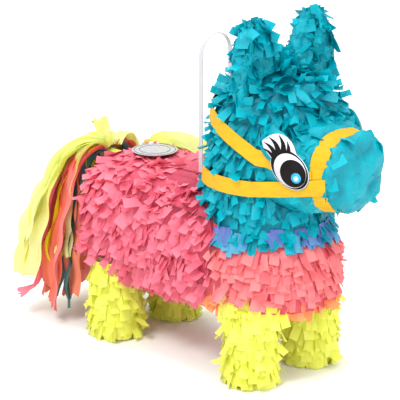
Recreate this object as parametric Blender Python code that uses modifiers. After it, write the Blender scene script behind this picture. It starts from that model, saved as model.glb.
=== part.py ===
"""Standing donkey pinata: a card body dressed in fringed crepe paper.

Metres, +Z up. The nose points along +X and the animal's left side is +Y. The origin is on the floor
under the middle of the object's outline. The lengths below are written in the leg frame, whose X = 0
is the centre of the rear legs, and SHIFT_X carries them to the origin.
"""
import math

import bmesh
import bpy
from mathutils import Matrix, Vector

# ---------------------------------------------------------------- driving dimensions
GAP = 0.0003                # clearance between neighbouring pieces
CARD = 0.0015               # thickness of the board
FRINGE = 0.009              # how far the crepe fringe stands off the board
WRAP = 0.0015               # thickness of the smooth crumpled paper on the muzzle

TRUNK_HALF_WIDTH = 0.088    # outer faces of the fringe
TRUNK_TOP = 0.245
TRUNK_BOTTOM = 0.079
TRUNK_REAR = -0.049
RUMP_ROUNDING = 0.032
TRUNK_SQUARENESS = 2.7      # exponent of the trunk's rounded cross-section

LEG_SPACING_X = 0.247
LEG_OFFSET_Y = 0.054
LEG_RADIUS = 0.036          # over the fringe
REAR_LEG_TOP = 0.112        # the rear leg tubes run up to the trunk's card, inside its fringe
LEG_FRINGE_LAP = 0.012      # how much lower the rear legs' fringe stops
LEG_HEM_ROUNDING = 0.008
LEG_HEM_TUCK = 0.004
LEG_HEM = 0.001             # the fringe ends just above the floor

CHEST_BOTTOM = 0.097
CHEST_X = 0.227
CHEST_RADIUS = 0.089
NECK_HEM = 0.187            # where the pink chest fringe gives way to the neck fringe
NECK_X = 0.2185
NECK_RADIUS = 0.0795
NECK_Z = 0.215
HEAD_X = 0.239
HEAD_RADIUS = 0.0815
HEAD_Z = 0.335              # widest level of the head, where the head cap sits on the neck tube
HEAD_DOME = 0.065           # height of the dome above HEAD_Z

MUZZLE_Z = 0.284
MUZZLE_ROOT_X = 0.290
MUZZLE_ROOT_HALF_WIDTH = 0.0635
MUZZLE_ROOT_HALF_HEIGHT = 0.0550
MUZZLE_END_X = 0.372
MUZZLE_END_HALF_WIDTH = 0.0440
MUZZLE_END_HALF_HEIGHT = 0.0455
MUZZLE_ROUNDING = 0.010
MUZZLE_SQUARENESS = 2.5

EAR_OFFSET_Y = 0.052
EAR_X = 0.246
EAR_TOP = 0.461
EAR_BASE = 0.345
EAR_HALF_WIDTH = 0.034
EAR_HALF_THICKNESS = 0.013
EAR_CARD_HALF_WIDTH = 0.018
EAR_CARD_TOP = EAR_TOP - 0.022

FLAP_REAR_X = -0.012        # hinge line of the filling hatch
FLAP_LENGTH = 0.054
FLAP_WIDTH = 0.052
FLAP_SIDE_CLEARANCE = 0.001
FLAP_FRONT_CLEARANCE = 0.0018
CUTTER_REACH = 0.02         # how far below the back's board the hatch and slit cutters go
LABEL_RADIUS = 0.030
LABEL_THICKNESS = 0.0006
LABEL_SET_BACK = 0.001      # from the hinge line to the label's rear edge

LOOP_X = 0.130
LOOP_HALF_SPAN = 0.026
LOOP_SINK = 0.0007          # the loop's feet, and its pivot, lie this deep in their slits
LOOP_SWING_BACK = math.radians(60)
LOOP_TOP = 0.419
STRAP_PLASTIC_WIDTH = 0.0064
STRAP_PLASTIC_THICKNESS = 0.0010
SLIT_CLEARANCE = 0.0006     # at the ends of a slit, where the loop swings
ANCHOR_LENGTH = 0.064
ANCHOR_WIDTH = 0.032
STRAP_BRIDGE = 0.010        # how far the strap's ends lie outwards under the anchor card

PAPER_STRAP_WIDTH = 0.0205
PAPER_STRAP = 0.0008        # thickness of the gold halter strips
NOSE_BAND_X = 0.3395
NOSE_BAND_WIDTH = 0.0225
STRAP_ON_BAND = 0.004       # how far the upper strip's ends lie over the nose band
CHEEK_STEP = 0.015          # spacing of a strip's stations along the muzzle's side
CHEEK_STEPS = 4
LOWER_STRAP_NOSE_Z = 0.2755
LOWER_STRAP_Z = 0.2585
LOWER_STRAP_BACK_Z = 0.260
UPPER_STRAP_NOSE_Z = 0.2815
UPPER_STRAP_Z = 0.3005
UPPER_STRAP_BACK_Z = 0.346
UPPER_STRAP_BEND = 2.4      # how soon the upper strip reaches its level at the nape
CHEEK_ANGLE = math.radians(62)      # where the strips leave the muzzle for the head, from the nose
STRAP_LIFT = PAPER_STRAP + 5 * GAP  # the strips lie over the nose band

EYE_X = 0.3172
EYE_Z = 0.292
EYE_HALF_WIDTH = 0.0211
EYE_HALF_HEIGHT = 0.0280
EYE_FACING = math.radians(-73)
EYE_TILT = math.radians(50)
LASH_REACH = 0.020          # how far the lashes carry the sticker out beyond the oval
LASH_START, LASH_FULL = math.radians(18), math.radians(66)      # turns round the oval
LASH_LAST, LASH_END = math.radians(94), math.radians(104)
EYE_CLEARANCE = 0.0012      # from the halter strips out to the sticker that is stuck over them

TAIL_ROOT_Z = 0.2200
TAIL_ROOT_RADIUS = 0.011
TAIL_REACH = 0.126          # how far the lowest streamers stand from the tail's root, in plan
TAIL_SPREAD = math.radians(58)
TAIL_HEM = 0.008
TAIL_LAYER = 0.004          # thickness of one layer of streamers
TAIL_CENTRE_X = TRUNK_REAR - 0.012
TAIL_ROOT_LENGTH = 0.052
TIE_THICKNESS = 0.0012
TIE_WIDTH = 0.006
TAIL_PIVOT_Z = TAIL_ROOT_Z + TAIL_ROOT_RADIUS + 0.002   # the streamers lift about the top of the tie

SHIFT_X = -(MUZZLE_END_X + TAIL_CENTRE_X - TAIL_REACH) / 2

RING_POINTS = 32
TRUNK_POINTS = 36           # ten degrees to a facet, so that the panels' seams fall on facet edges
LEG_POINTS = 20

# ---------------------------------------------------------------- scene, collections, materials
for old in list(bpy.data.objects):
    bpy.data.objects.remove(old, do_unlink=True)

PARTS = bpy.data.collections.new("pinata")
CUTTERS = bpy.data.collections.new("cutters")
bpy.context.scene.collection.children.link(PARTS)
bpy.context.scene.collection.children.link(CUTTERS)


def paper(name, colour, roughness=0.8):
    material = bpy.data.materials.new(name)
    material.use_nodes = True
    shader = material.node_tree.nodes["Principled BSDF"]
    shader.inputs["Base Color"].default_value = (*colour, 1.0)
    shader.inputs["Roughness"].default_value = roughness
    shader.inputs["Metallic"].default_value = 0.0
    return material


KRAFT = paper("kraft_card", (0.42, 0.29, 0.17), 0.9)
PINK = paper("pink_crepe", (1.00, 0.13, 0.24))
TURQUOISE = paper("turquoise_crepe", (0.00, 0.46, 0.60))
YELLOW = paper("yellow_crepe", (0.84, 0.92, 0.04))
GOLD = paper("gold_paper", (0.93, 0.54, 0.02), 0.6)
WHITE_STICKER = paper("eye_print", (0.85, 0.84, 0.88), 0.35)
SILVER_LABEL = paper("label_stock", (0.75, 0.75, 0.74), 0.3)
CLEAR_STRAP = paper("strap_plastic", (0.90, 0.92, 0.94), 0.3)
LIME = paper("lime_crepe", (0.80, 0.86, 0.27))
CORAL = paper("coral_crepe", (0.95, 0.10, 0.05))
TEAL = paper("teal_crepe", (0.08, 0.20, 0.20))


# ---------------------------------------------------------------- modelling helpers
def add_object(name, bm, material, smooth=True):
    mesh = bpy.data.meshes.new(name)
    bm.to_mesh(mesh)
    bm.free()
    mesh.materials.append(material)
    if smooth:
        mesh.shade_smooth()
        mesh.set_sharp_from_angle(angle=math.radians(35))
    obj = bpy.data.objects.new(name, mesh)
    PARTS.objects.link(obj)
    return obj


def add_cutter(name, bm):
    obj = add_object(name, bm, KRAFT, smooth=False)
    PARTS.objects.unlink(obj)
    CUTTERS.objects.link(obj)
    obj.hide_render = True
    obj.display_type = "WIRE"
    return obj


def cut(obj, cutter, operation="DIFFERENCE"):
    modifier = obj.modifiers.new(operation.lower() + "_" + cutter.name, "BOOLEAN")
    modifier.operation = operation
    modifier.object = cutter
    modifier.solver = "EXACT"


def thicken(obj, thickness, outward=False):
    modifier = obj.modifiers.new("wall", "SOLIDIFY")
    modifier.thickness = thickness
    modifier.offset = 1.0 if outward else -1.0
    modifier.use_even_offset = True


def face_away_from(bm, point):
    """Turn the faces of an open skin so that they point away from a point inside it."""
    bmesh.ops.recalc_face_normals(bm, faces=bm.faces)
    lean = sum((f.normal.dot(f.calc_center_median() - point) * f.calc_area() for f in bm.faces))
    if lean < 0:
        bmesh.ops.reverse_faces(bm, faces=bm.faces)


def loft(section, stations, closed=True, cap_start=False, cap_end=False):
    """Carry a section through a list of matrices, by extruding its edges from each to the next."""
    bm = bmesh.new()
    first = [bm.verts.new(stations[0] @ p) for p in section]
    pairs = list(zip(first, first[1:])) + ([(first[-1], first[0])] if closed else [])
    edges = [bm.edges.new(pair) for pair in pairs]
    if cap_start:
        bm.faces.new(first)
    for here, there in zip(stations, stations[1:]):
        grown = bmesh.ops.extrude_edge_only(bm, edges=edges)["geom"]
        verts = [g for g in grown if isinstance(g, bmesh.types.BMVert)]
        fresh = set(verts)
        edges = [g for g in grown if isinstance(g, bmesh.types.BMEdge) and set(g.verts) <= fresh]
        bmesh.ops.transform(bm, matrix=there @ here.inverted(), verts=verts)
    if cap_end:
        bmesh.ops.contextual_create(bm, geom=edges)
    if cap_start and cap_end:
        bmesh.ops.recalc_face_normals(bm, faces=bm.faces)
    return bm


def wall_loft(section, outer, inner, capped=False):
    """A closed wall between an outer and an inner skin, whose rim is level at each end."""
    stations = list(outer) + list(reversed(inner))
    if capped:
        return loft(section, list(reversed(outer)) + list(inner), cap_start=True, cap_end=True)
    bm = loft(section, stations)
    bmesh.ops.bridge_loops(bm, edges=[e for e in bm.edges if e.is_boundary])
    bmesh.ops.recalc_face_normals(bm, faces=bm.faces)
    return bm


def round_section(plane, squareness=2.0, start=0.0, turn=2 * math.pi, points=RING_POINTS):
    """Unit superellipse in the XY or YZ plane, whole or as an open arc."""
    whole = turn >= 2 * math.pi - 1e-6
    count = points if whole else points + 1
    section = []
    for i in range(count):
        angle = start + turn * i / points
        c, s = math.cos(angle), math.sin(angle)
        u = math.copysign(abs(c) ** (2 / squareness), c)
        v = math.copysign(abs(s) ** (2 / squareness), s)
        section.append(Vector((u, v, 0.0)) if plane == "XY" else Vector((0.0, u, v)))
    return section


def station(centre, scale):
    return Matrix.Translation(centre) @ Matrix.Diagonal((*scale, 1.0))


def box(low, high):
    bm = bmesh.new()
    bmesh.ops.create_cube(bm, size=1.0)
    size = [high[i] - low[i] for i in range(3)]
    bmesh.ops.scale(bm, vec=size, verts=bm.verts)
    middle = [(high[i] + low[i]) / 2 for i in range(3)]
    bmesh.ops.translate(bm, vec=middle, verts=bm.verts)
    return bm


def upright_cylinder(x, y, radius, low, high, points=32):
    bm = bmesh.new()
    bmesh.ops.create_cone(bm, cap_ends=True, segments=points, radius1=radius, radius2=radius,
                          depth=high - low)
    bmesh.ops.translate(bm, vec=(x, y, (high + low) / 2), verts=bm.verts)
    return bm


def at(x, y, z):
    """A point of the leg frame, in the object's frame."""
    return Vector((x + SHIFT_X, y, z))


# ---------------------------------------------------------------- trunk
TRUNK_Z = (TRUNK_TOP + TRUNK_BOTTOM) / 2
TRUNK_HALF_HEIGHT = (TRUNK_TOP - TRUNK_BOTTOM) / 2
SKIN = FRINGE + GAP         # from the outside of the fringe to the outside of the board
TRUNK_FRONT_X = CHEST_X - 0.02
RUMP_SEAM_X = TRUNK_REAR + RUMP_ROUNDING + 0.0005


def trunk_station(x, inset, inwards=0.0):
    half_width = TRUNK_HALF_WIDTH - inset - inwards
    half_height = TRUNK_HALF_HEIGHT - inset - inwards
    return station(at(x, 0, TRUNK_Z), (1.0, half_width, half_height))


def rump_stations(inset, steps=4):
    """From the flat rear face round to the straight wall of the trunk."""
    radius = RUMP_ROUNDING - inset
    stations = []
    for i in range(steps + 1):
        angle = math.pi / 2 * i / steps
        x = TRUNK_REAR + inset + radius * (1 - math.cos(angle))
        stations.append(trunk_station(x, inset, radius * (1 - math.sin(angle))))
    return stations


def back_level(y):
    """Height of the back's outer face at a distance from the mid-plane."""
    across = abs(y) / TRUNK_HALF_WIDTH
    return TRUNK_Z + TRUNK_HALF_HEIGHT * (1 - across ** TRUNK_SQUARENESS) ** (1 / TRUNK_SQUARENESS)


def loop_pivot_level():
    return back_level(LOOP_HALF_SPAN) - LOOP_SINK


def trunk_section():
    return round_section("YZ", TRUNK_SQUARENESS, points=TRUNK_POINTS)


def trunk_solid(inset):
    """The trunk's outside as one closed solid, to cut other pieces to its shape."""
    stations = rump_stations(inset) + [trunk_station(TRUNK_FRONT_X, inset)]
    return loft(trunk_section(), stations, cap_start=True, cap_end=True)


def trunk_shell(name, front_x, inset, wall, material):
    """The rounded rump and the wall ahead of it, closed behind and open in front."""
    outer = [trunk_station(front_x, inset)] + list(reversed(rump_stations(inset)))
    inner = [trunk_station(front_x, inset + wall)] + list(reversed(rump_stations(inset + wall)))
    return add_object(name, wall_loft(trunk_section(), outer, inner, capped=True), material)


def trunk_panel(name, first_deg, last_deg, inset, wall, material, x_low, x_high):
    """A bent sheet between two directions of the trunk's cross-section."""
    facets = round((last_deg - first_deg) / 360 * TRUNK_POINTS)
    section = round_section("YZ", TRUNK_SQUARENESS, math.radians(first_deg),
                            math.radians(last_deg - first_deg), facets)
    seam = GAP / TRUNK_HALF_HEIGHT
    section[0] += (section[1] - section[0]).normalized() * seam
    section[-1] += (section[-2] - section[-1]).normalized() * seam
    bm = loft(section, [trunk_station(x_low, inset), trunk_station(x_high, inset)], closed=False)
    face_away_from(bm, at((x_low + x_high) / 2, 0, TRUNK_Z))
    panel = add_object(name, bm, material)
    thicken(panel, wall)
    return panel


# ---------------------------------------------------------------- chest, neck and head
COLUMN = (                  # level, centre X and radius over the fringe, with smooth steps between
    (CHEST_BOTTOM, CHEST_X, CHEST_RADIUS),
    (CHEST_BOTTOM + 0.058, CHEST_X, CHEST_RADIUS),
    (NECK_HEM, (CHEST_X + NECK_X) / 2, (CHEST_RADIUS + NECK_RADIUS) / 2 + 0.001),
    (NECK_Z, NECK_X, NECK_RADIUS),
    (NECK_Z + 0.035, NECK_X + 0.004, NECK_RADIUS + 0.0005),
    (HEAD_Z - 0.045, HEAD_X - 0.007, HEAD_RADIUS + 0.001),
    (HEAD_Z, HEAD_X, HEAD_RADIUS),
)


def smooth_column():
    """The column's levels, two to each stretch, so that every skin on it has the same facets."""
    levels = []
    for (z0, x0, r0), (z1, x1, r1) in zip(COLUMN, COLUMN[1:]):
        for i in range(2):
            share = i / 2
            ease = share * share * (3 - 2 * share)
            levels.append((z0 + (z1 - z0) * share, x0 + (x1 - x0) * ease, r0 + (r1 - r0) * ease))
    return levels + [COLUMN[-1]]


LEVELS = smooth_column()


def column_at(z):
    """Centre X and outer radius of the column at a level."""
    if z <= LEVELS[0][0]:
        return LEVELS[0][1], LEVELS[0][2]
    for (z0, x0, r0), (z1, x1, r1) in zip(LEVELS, LEVELS[1:]):
        if z <= z1:
            share = (z - z0) / (z1 - z0)
            return x0 + (x1 - x0) * share, r0 + (r1 - r0) * share
    rise = min((z - HEAD_Z) / HEAD_DOME, 1.0)
    return HEAD_X, HEAD_RADIUS * math.sqrt(1 - rise * rise)


def column_stations(low, high, inset):
    heights = [low] + [level[0] for level in LEVELS if low < level[0] < high] + [high]
    stations = []
    for z in heights:
        x, radius = column_at(z)
        stations.append(station(at(x, 0, z), (radius - inset, radius - inset, 1.0)))
    return stations


def dome_stations(inset, lift=0.0, steps=6):
    stations = []
    for i in range(steps):
        angle = math.radians(80) * i / (steps - 1)
        radius = (HEAD_RADIUS - inset) * math.cos(angle)
        level = HEAD_Z + lift + (HEAD_DOME - inset) * math.sin(angle)
        stations.append(station(at(HEAD_X, 0, level), (radius, radius, 1.0)))
    return stations


def column_solid(inset, low=0.05):
    """The outside of chest, neck and head as one closed solid, carried straight down to a level."""
    foot_x, foot_radius = column_at(low)
    stations = [station(at(foot_x, 0, low), (foot_radius - inset, foot_radius - inset, 1.0))]
    stations += column_stations(CHEST_BOTTOM, HEAD_Z, inset)
    stations += dome_stations(inset, GAP)
    return loft(round_section("XY"), stations, cap_start=True, cap_end=True)


def column_skin(name, low, high, inset, wall, material):
    outer = column_stations(low, high, inset)
    inner = column_stations(low, high, inset + wall)
    return add_object(name, wall_loft(round_section("XY"), outer, inner), material)


def dome_skin(name, inset, wall, material):
    outer = dome_stations(inset, GAP)
    inner = dome_stations(inset + wall, GAP)
    return add_object(name, wall_loft(round_section("XY"), outer, inner, capped=True), material)


# ---------------------------------------------------------------- muzzle
MUZZLE_START_X = MUZZLE_ROOT_X - 0.028     # inside the head, where the neck tube trims the muzzle


def muzzle_half_sizes(x):
    share = max(x - MUZZLE_ROOT_X, 0.0) / (MUZZLE_END_X - MUZZLE_ROOT_X)
    half_width = MUZZLE_ROOT_HALF_WIDTH + (MUZZLE_END_HALF_WIDTH - MUZZLE_ROOT_HALF_WIDTH) * share
    taper = MUZZLE_END_HALF_HEIGHT - MUZZLE_ROOT_HALF_HEIGHT
    return half_width, MUZZLE_ROOT_HALF_HEIGHT + taper * share


def muzzle_station(x, inset, inwards=0.0):
    half_width, half_height = muzzle_half_sizes(x)
    shrink = inset + inwards
    return station(at(x, 0, MUZZLE_Z), (1.0, half_width - shrink, half_height - shrink))


def muzzle_nose_stations(inset, steps=3):
    radius = MUZZLE_ROUNDING
    stations = []
    for i in range(steps + 1):
        angle = math.pi / 2 * i / steps
        x = MUZZLE_END_X - inset - radius * (1 - math.sin(angle))
        stations.append(muzzle_station(x, inset, radius * (1 - math.cos(angle))))
    return stations


def muzzle_tube_stations(inset, end_x):
    return [muzzle_station(x, inset) for x in (MUZZLE_START_X, MUZZLE_ROOT_X, end_x)]


def add_muzzle_skin(name, stations_at, inset, wall, material, nose):
    """A wall over the muzzle: open at both ends, or closed in front by the rounded nose."""
    outer, inner = stations_at(inset), stations_at(inset + wall)
    section = round_section("YZ", MUZZLE_SQUARENESS)
    return add_object(name, wall_loft(section, outer, inner, capped=nose), material)


# ---------------------------------------------------------------- cutters
trunk_card_cutter = add_cutter("trunk_card_cutter", trunk_solid(SKIN - GAP))
trunk_fringe_cutter = add_cutter("trunk_fringe_cutter", trunk_solid(-GAP))
column_card_cutter = add_cutter("column_card_cutter", column_solid(SKIN - GAP))
column_fringe_cutter = add_cutter("column_fringe_cutter", column_solid(-GAP))
muzzle_card_cutter = add_cutter("muzzle_card_cutter", loft(
    round_section("YZ", MUZZLE_SQUARENESS),
    [muzzle_station(x, -GAP) for x in (MUZZLE_START_X - 0.01, MUZZLE_ROOT_X, MUZZLE_END_X)],
    cap_start=True, cap_end=True))
hatch_low_x = FLAP_REAR_X - FLAP_SIDE_CLEARANCE
hatch_high_x = FLAP_REAR_X + FLAP_LENGTH + FLAP_FRONT_CLEARANCE
hatch_half = FLAP_WIDTH / 2 + FLAP_SIDE_CLEARANCE
HATCH_FLOOR = TRUNK_TOP - SKIN - CARD - CUTTER_REACH
hatch_cutter = add_cutter("hatch_cutter", box(at(hatch_low_x, -hatch_half, HATCH_FLOOR),
                                              at(hatch_high_x, hatch_half, TRUNK_TOP + 0.01)))
flap_cutter = add_cutter("flap_cutter", box(
    at(FLAP_REAR_X, -FLAP_WIDTH / 2, HATCH_FLOOR),
    at(FLAP_REAR_X + FLAP_LENGTH, FLAP_WIDTH / 2, TRUNK_TOP + 0.01)))
slit_cutters = []
for side in (-1, 1):
    front = STRAP_PLASTIC_WIDTH / 2 + SLIT_CLEARANCE
    rear = (STRAP_PLASTIC_WIDTH / 2 / math.cos(LOOP_SWING_BACK)
            + 1.5 * LOOP_SINK * math.tan(LOOP_SWING_BACK) + SLIT_CLEARANCE)
    half_y = STRAP_PLASTIC_THICKNESS / 2 + GAP
    slit_cutters.append(add_cutter("slit_cutter", box(
        at(LOOP_X - rear, side * LOOP_HALF_SPAN - half_y, HATCH_FLOOR),
        at(LOOP_X + front, side * LOOP_HALF_SPAN + half_y, TRUNK_TOP + 0.01))))


# ---------------------------------------------------------------- trunk pieces
def build_trunk():
    rump_cap = trunk_shell("rump_cap", RUMP_SEAM_X, SKIN, CARD, KRAFT)
    cut(rump_cap, tail_hole_cutter)

    panels = {
        "side_panel_left": (-50, 50),
        "back_panel": (50, 130),
        "side_panel_right": (130, 230),
        "belly_panel": (230, 310),
    }
    start = RUMP_SEAM_X + GAP
    for name, (first, last) in panels.items():
        panel = trunk_panel(name, first, last, SKIN, CARD, KRAFT, start, TRUNK_FRONT_X)
        cut(panel, column_card_cutter)
        if name == "back_panel":
            cut(panel, hatch_cutter)
            for slit in slit_cutters:
                cut(panel, slit)

    trunk_fringe = trunk_shell("trunk_fringe", TRUNK_FRONT_X, 0.0, FRINGE, PINK)
    cut(trunk_fringe, column_fringe_cutter)
    cut(trunk_fringe, hatch_cutter)
    cut(trunk_fringe, tail_hole_cutter)
    for slit in slit_cutters:
        cut(trunk_fringe, slit)
    for hole in rear_leg_cutters:
        cut(trunk_fringe, hole)


def build_hatch():
    flap = trunk_panel("fill_flap", 60, 120, SKIN, CARD, KRAFT,
                       FLAP_REAR_X - 0.01, FLAP_REAR_X + FLAP_LENGTH + 0.01)
    cut(flap, flap_cutter, "INTERSECT")
    pad = trunk_panel("flap_fringe", 60, 120, 0.0, FRINGE, PINK,
                      FLAP_REAR_X - 0.01, FLAP_REAR_X + FLAP_LENGTH + 0.01)
    cut(pad, flap_cutter, "INTERSECT")
    low = TRUNK_TOP + GAP
    label_x = FLAP_REAR_X + LABEL_SET_BACK + LABEL_RADIUS + SHIFT_X
    label = upright_cylinder(label_x, 0, LABEL_RADIUS, low, low + LABEL_THICKNESS)
    add_object("flap_label", label, SILVER_LABEL)


# ---------------------------------------------------------------- hanger
def build_hanger():
    pivot = loop_pivot_level()
    straight = LOOP_TOP - LOOP_HALF_SPAN
    half = STRAP_PLASTIC_WIDTH / 2
    path = [Vector((LOOP_X + SHIFT_X - half, -LOOP_HALF_SPAN, pivot)),
            Vector((LOOP_X + SHIFT_X - half, -LOOP_HALF_SPAN, (pivot + straight) / 2))]
    for i in range(17):
        angle = math.pi * (1 - i / 16)
        path.append(Vector((LOOP_X + SHIFT_X - half, LOOP_HALF_SPAN * math.cos(angle),
                            straight + LOOP_HALF_SPAN * math.sin(angle))))
    path += [Vector((p.x, -p.y, p.z)) for p in reversed(path[:2])]
    bm = bmesh.new()
    verts = [bm.verts.new(p) for p in path]
    edges = [bm.edges.new(pair) for pair in zip(verts, verts[1:])]
    grown = bmesh.ops.extrude_edge_only(bm, edges=edges)["geom"]
    bmesh.ops.translate(bm, vec=(STRAP_PLASTIC_WIDTH, 0, 0),
                        verts=[g for g in grown if isinstance(g, bmesh.types.BMVert)])
    face_away_from(bm, at(LOOP_X, 0, (pivot + straight) / 2))
    loop = add_object("hanging_loop", bm, CLEAR_STRAP)
    thicken(loop, STRAP_PLASTIC_THICKNESS)
    loop.modifiers["wall"].offset = 0.0

    across = ANCHOR_LENGTH / 2 / (TRUNK_HALF_WIDTH - SKIN - CARD)
    crown = 1 - (1 - across ** TRUNK_SQUARENESS) ** (1 / TRUNK_SQUARENESS)
    anchor_top = TRUNK_TOP - SKIN - CARD - GAP - crown * (TRUNK_HALF_HEIGHT - SKIN - CARD)
    tab_bottom = anchor_top - CARD - GAP - STRAP_PLASTIC_THICKNESS
    tab_top = pivot - half - GAP
    half_y = STRAP_PLASTIC_THICKNESS / 2
    ends = bmesh.new()
    for side in (-1, 1):
        tab = box(at(LOOP_X - half, side * LOOP_HALF_SPAN - half_y, tab_bottom),
                  at(LOOP_X + half, side * LOOP_HALF_SPAN + half_y, tab_top))
        copy = bpy.data.meshes.new("tab")
        tab.to_mesh(copy)
        tab.free()
        ends.from_mesh(copy)
        bpy.data.meshes.remove(copy)
    strap_ends = add_object("strap_ends", ends, CLEAR_STRAP, smooth=False)
    bridge = add_cutter("strap_bridge", box(
        at(LOOP_X - half, -LOOP_HALF_SPAN - STRAP_BRIDGE, tab_bottom),
        at(LOOP_X + half, LOOP_HALF_SPAN + STRAP_BRIDGE, tab_bottom + STRAP_PLASTIC_THICKNESS)))
    cut(strap_ends, bridge, "UNION")

    card = box(at(LOOP_X - 0.6 * ANCHOR_WIDTH, -ANCHOR_LENGTH / 2, anchor_top - CARD),
               at(LOOP_X + 0.4 * ANCHOR_WIDTH, ANCHOR_LENGTH / 2, anchor_top))
    anchor = add_object("anchor_card", card, KRAFT, smooth=False)
    for slit in slit_cutters:
        cut(anchor, slit)


# ---------------------------------------------------------------- chest, neck, head
def build_column():
    floor_low, floor_high = CHEST_BOTTOM, CHEST_BOTTOM + CARD
    add_object("chest_floor", upright_cylinder(CHEST_X + SHIFT_X, 0, CHEST_RADIUS - SKIN,
                                               floor_low, floor_high, RING_POINTS), KRAFT)
    column_skin("neck_tube", floor_high + GAP, HEAD_Z, SKIN, CARD, KRAFT)
    dome_skin("head_cap", SKIN, CARD, KRAFT)
    chest = column_skin("chest_fringe", CHEST_BOTTOM, NECK_HEM - GAP, 0.0, FRINGE, PINK)
    neck = column_skin("neck_fringe", NECK_HEM, HEAD_Z, 0.0, FRINGE, TURQUOISE)
    head = dome_skin("head_fringe", 0.0, FRINGE, TURQUOISE)
    for fringe in (chest, neck):
        cut(fringe, trunk_card_cutter)
    cut(neck, muzzle_card_cutter)
    cut(head, muzzle_card_cutter)
    for slot in ear_slot_cutters:
        cut(head, slot)


def build_muzzle():
    tube_inset = WRAP + GAP
    seam = MUZZLE_END_X - MUZZLE_ROUNDING - tube_inset - 2 * CARD

    def tube_at(inset):
        return muzzle_tube_stations(inset, seam - GAP)

    def end_at(inset):
        return [muzzle_station(seam, inset)] + muzzle_nose_stations(inset)

    def wrap_at(inset):
        return muzzle_tube_stations(inset, seam) + muzzle_nose_stations(inset)

    tube = add_muzzle_skin("muzzle_tube", tube_at, tube_inset, CARD, KRAFT, nose=False)
    add_muzzle_skin("muzzle_end", end_at, tube_inset, CARD, KRAFT, nose=True)
    wrap = add_muzzle_skin("muzzle_wrap", wrap_at, 0.0, WRAP, TURQUOISE, nose=True)
    cut(tube, column_card_cutter)
    cut(wrap, column_card_cutter)


# ---------------------------------------------------------------- ears
def ear_stations(half_width, half_thickness, low, high, y, steps=8):
    stations = []
    for i in range(steps + 1):
        share = i / steps
        level = low + (high - low) * share
        swell = math.sqrt(max(1 - max(share - 0.45, 0) ** 2 / 0.32, 0.02))
        narrow = 0.74 + 0.26 * min(share / 0.45, 1.0)
        stations.append(station(at(EAR_X, y, level),
                                (half_thickness * swell, half_width * swell * narrow, 1.0)))
    return stations


def build_ears():
    for side, label in ((-1, "right"), (1, "left")):
        y = side * EAR_OFFSET_Y
        fringe_bm = loft(round_section("XY", 2.4, points=24),
                         ear_stations(EAR_HALF_WIDTH, EAR_HALF_THICKNESS, EAR_BASE, EAR_TOP, y),
                         cap_start=True, cap_end=True)
        fringe = add_object("ear_fringe_" + label, fringe_bm, TURQUOISE)
        cut(fringe, column_fringe_cutter)
        cut(fringe, ear_slot_cutters[0 if side < 0 else 1])
        card_bm = box(at(EAR_X - CARD / 2, y - EAR_CARD_HALF_WIDTH, HEAD_Z),
                      at(EAR_X + CARD / 2, y + EAR_CARD_HALF_WIDTH, EAR_CARD_TOP))
        card = add_object("ear_card_" + label, card_bm, KRAFT, smooth=False)
        cut(card, column_card_cutter)


# ---------------------------------------------------------------- legs
def build_legs():
    for x, end in ((0.0, "rear"), (LEG_SPACING_X, "front")):
        for side, label in ((-1, "right"), (1, "left")):
            y = side * LEG_OFFSET_Y
            radius = LEG_RADIUS - SKIN
            top = CHEST_BOTTOM - GAP if end == "front" else REAR_LEG_TOP
            name = end + "_" + label
            tube_bm = loft(round_section("XY", points=LEG_POINTS),
                           [station(at(x, y, CARD + GAP), (radius, radius, 1.0)),
                            station(at(x, y, top), (radius, radius, 1.0))])
            face_away_from(tube_bm, at(x, y, top / 2))
            tube = add_object("leg_tube_" + name, tube_bm, KRAFT)
            thicken(tube, CARD)
            add_object("foot_disc_" + name,
                       upright_cylinder(x + SHIFT_X, y, radius, 0.0, CARD, LEG_POINTS), KRAFT)
            hem_radius = LEG_RADIUS - LEG_HEM_TUCK
            fringe_top = CHEST_BOTTOM - GAP if end == "front" else REAR_LEG_TOP - LEG_FRINGE_LAP
            fringe_bm = loft(round_section("XY", points=LEG_POINTS),
                             [station(at(x, y, LEG_HEM), (hem_radius, hem_radius, 1.0)),
                              station(at(x, y, LEG_HEM + LEG_HEM_ROUNDING), (LEG_RADIUS, LEG_RADIUS, 1.0)),
                              station(at(x, y, fringe_top), (LEG_RADIUS, LEG_RADIUS, 1.0))],
                             cap_start=True, cap_end=True)
            fringe = add_object("leg_fringe_" + name, fringe_bm, YELLOW)
            bore = add_cutter("leg_bore_" + name, upright_cylinder(
                x + SHIFT_X, y, radius + GAP, -0.01, REAR_LEG_TOP + 0.02, LEG_POINTS))
            cut(fringe, bore)
            if end == "rear":
                cut(tube, trunk_card_cutter)
                cut(fringe, trunk_fringe_cutter)


# ---------------------------------------------------------------- halter and eyes
def muzzle_side(x, z, lift):
    """How far a skin laid over the muzzle's side stands from the mid-plane at a point along it."""
    half_width, half_height = (size + lift for size in muzzle_half_sizes(x))
    rise = min(abs(z - MUZZLE_Z) / half_height, 0.98)
    return half_width * (1 - rise ** MUZZLE_SQUARENESS) ** (1 / MUZZLE_SQUARENESS)


def halter_side(x, z):
    """How far the halter strips stand from the mid-plane, on the muzzle or on the head behind it."""
    centre, radius = column_at(z)
    reach = radius + STRAP_LIFT
    head_side = math.sqrt(max(reach ** 2 - (x - centre) ** 2, 0.0))
    return max(muzzle_side(x, z, STRAP_LIFT), head_side)


def cheek_level(nose_level, level, nose_x, x):
    """The level of a strip's middle on the muzzle's side, between the nose and the cheek."""
    cheek_x = HEAD_X + HEAD_RADIUS * math.cos(CHEEK_ANGLE)
    return nose_level + (level - nose_level) * (nose_x - x) / (nose_x - cheek_x)


def lower_strap_level(x):
    return cheek_level(LOWER_STRAP_NOSE_Z, LOWER_STRAP_Z, NOSE_BAND_X + NOSE_BAND_WIDTH, x)


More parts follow.
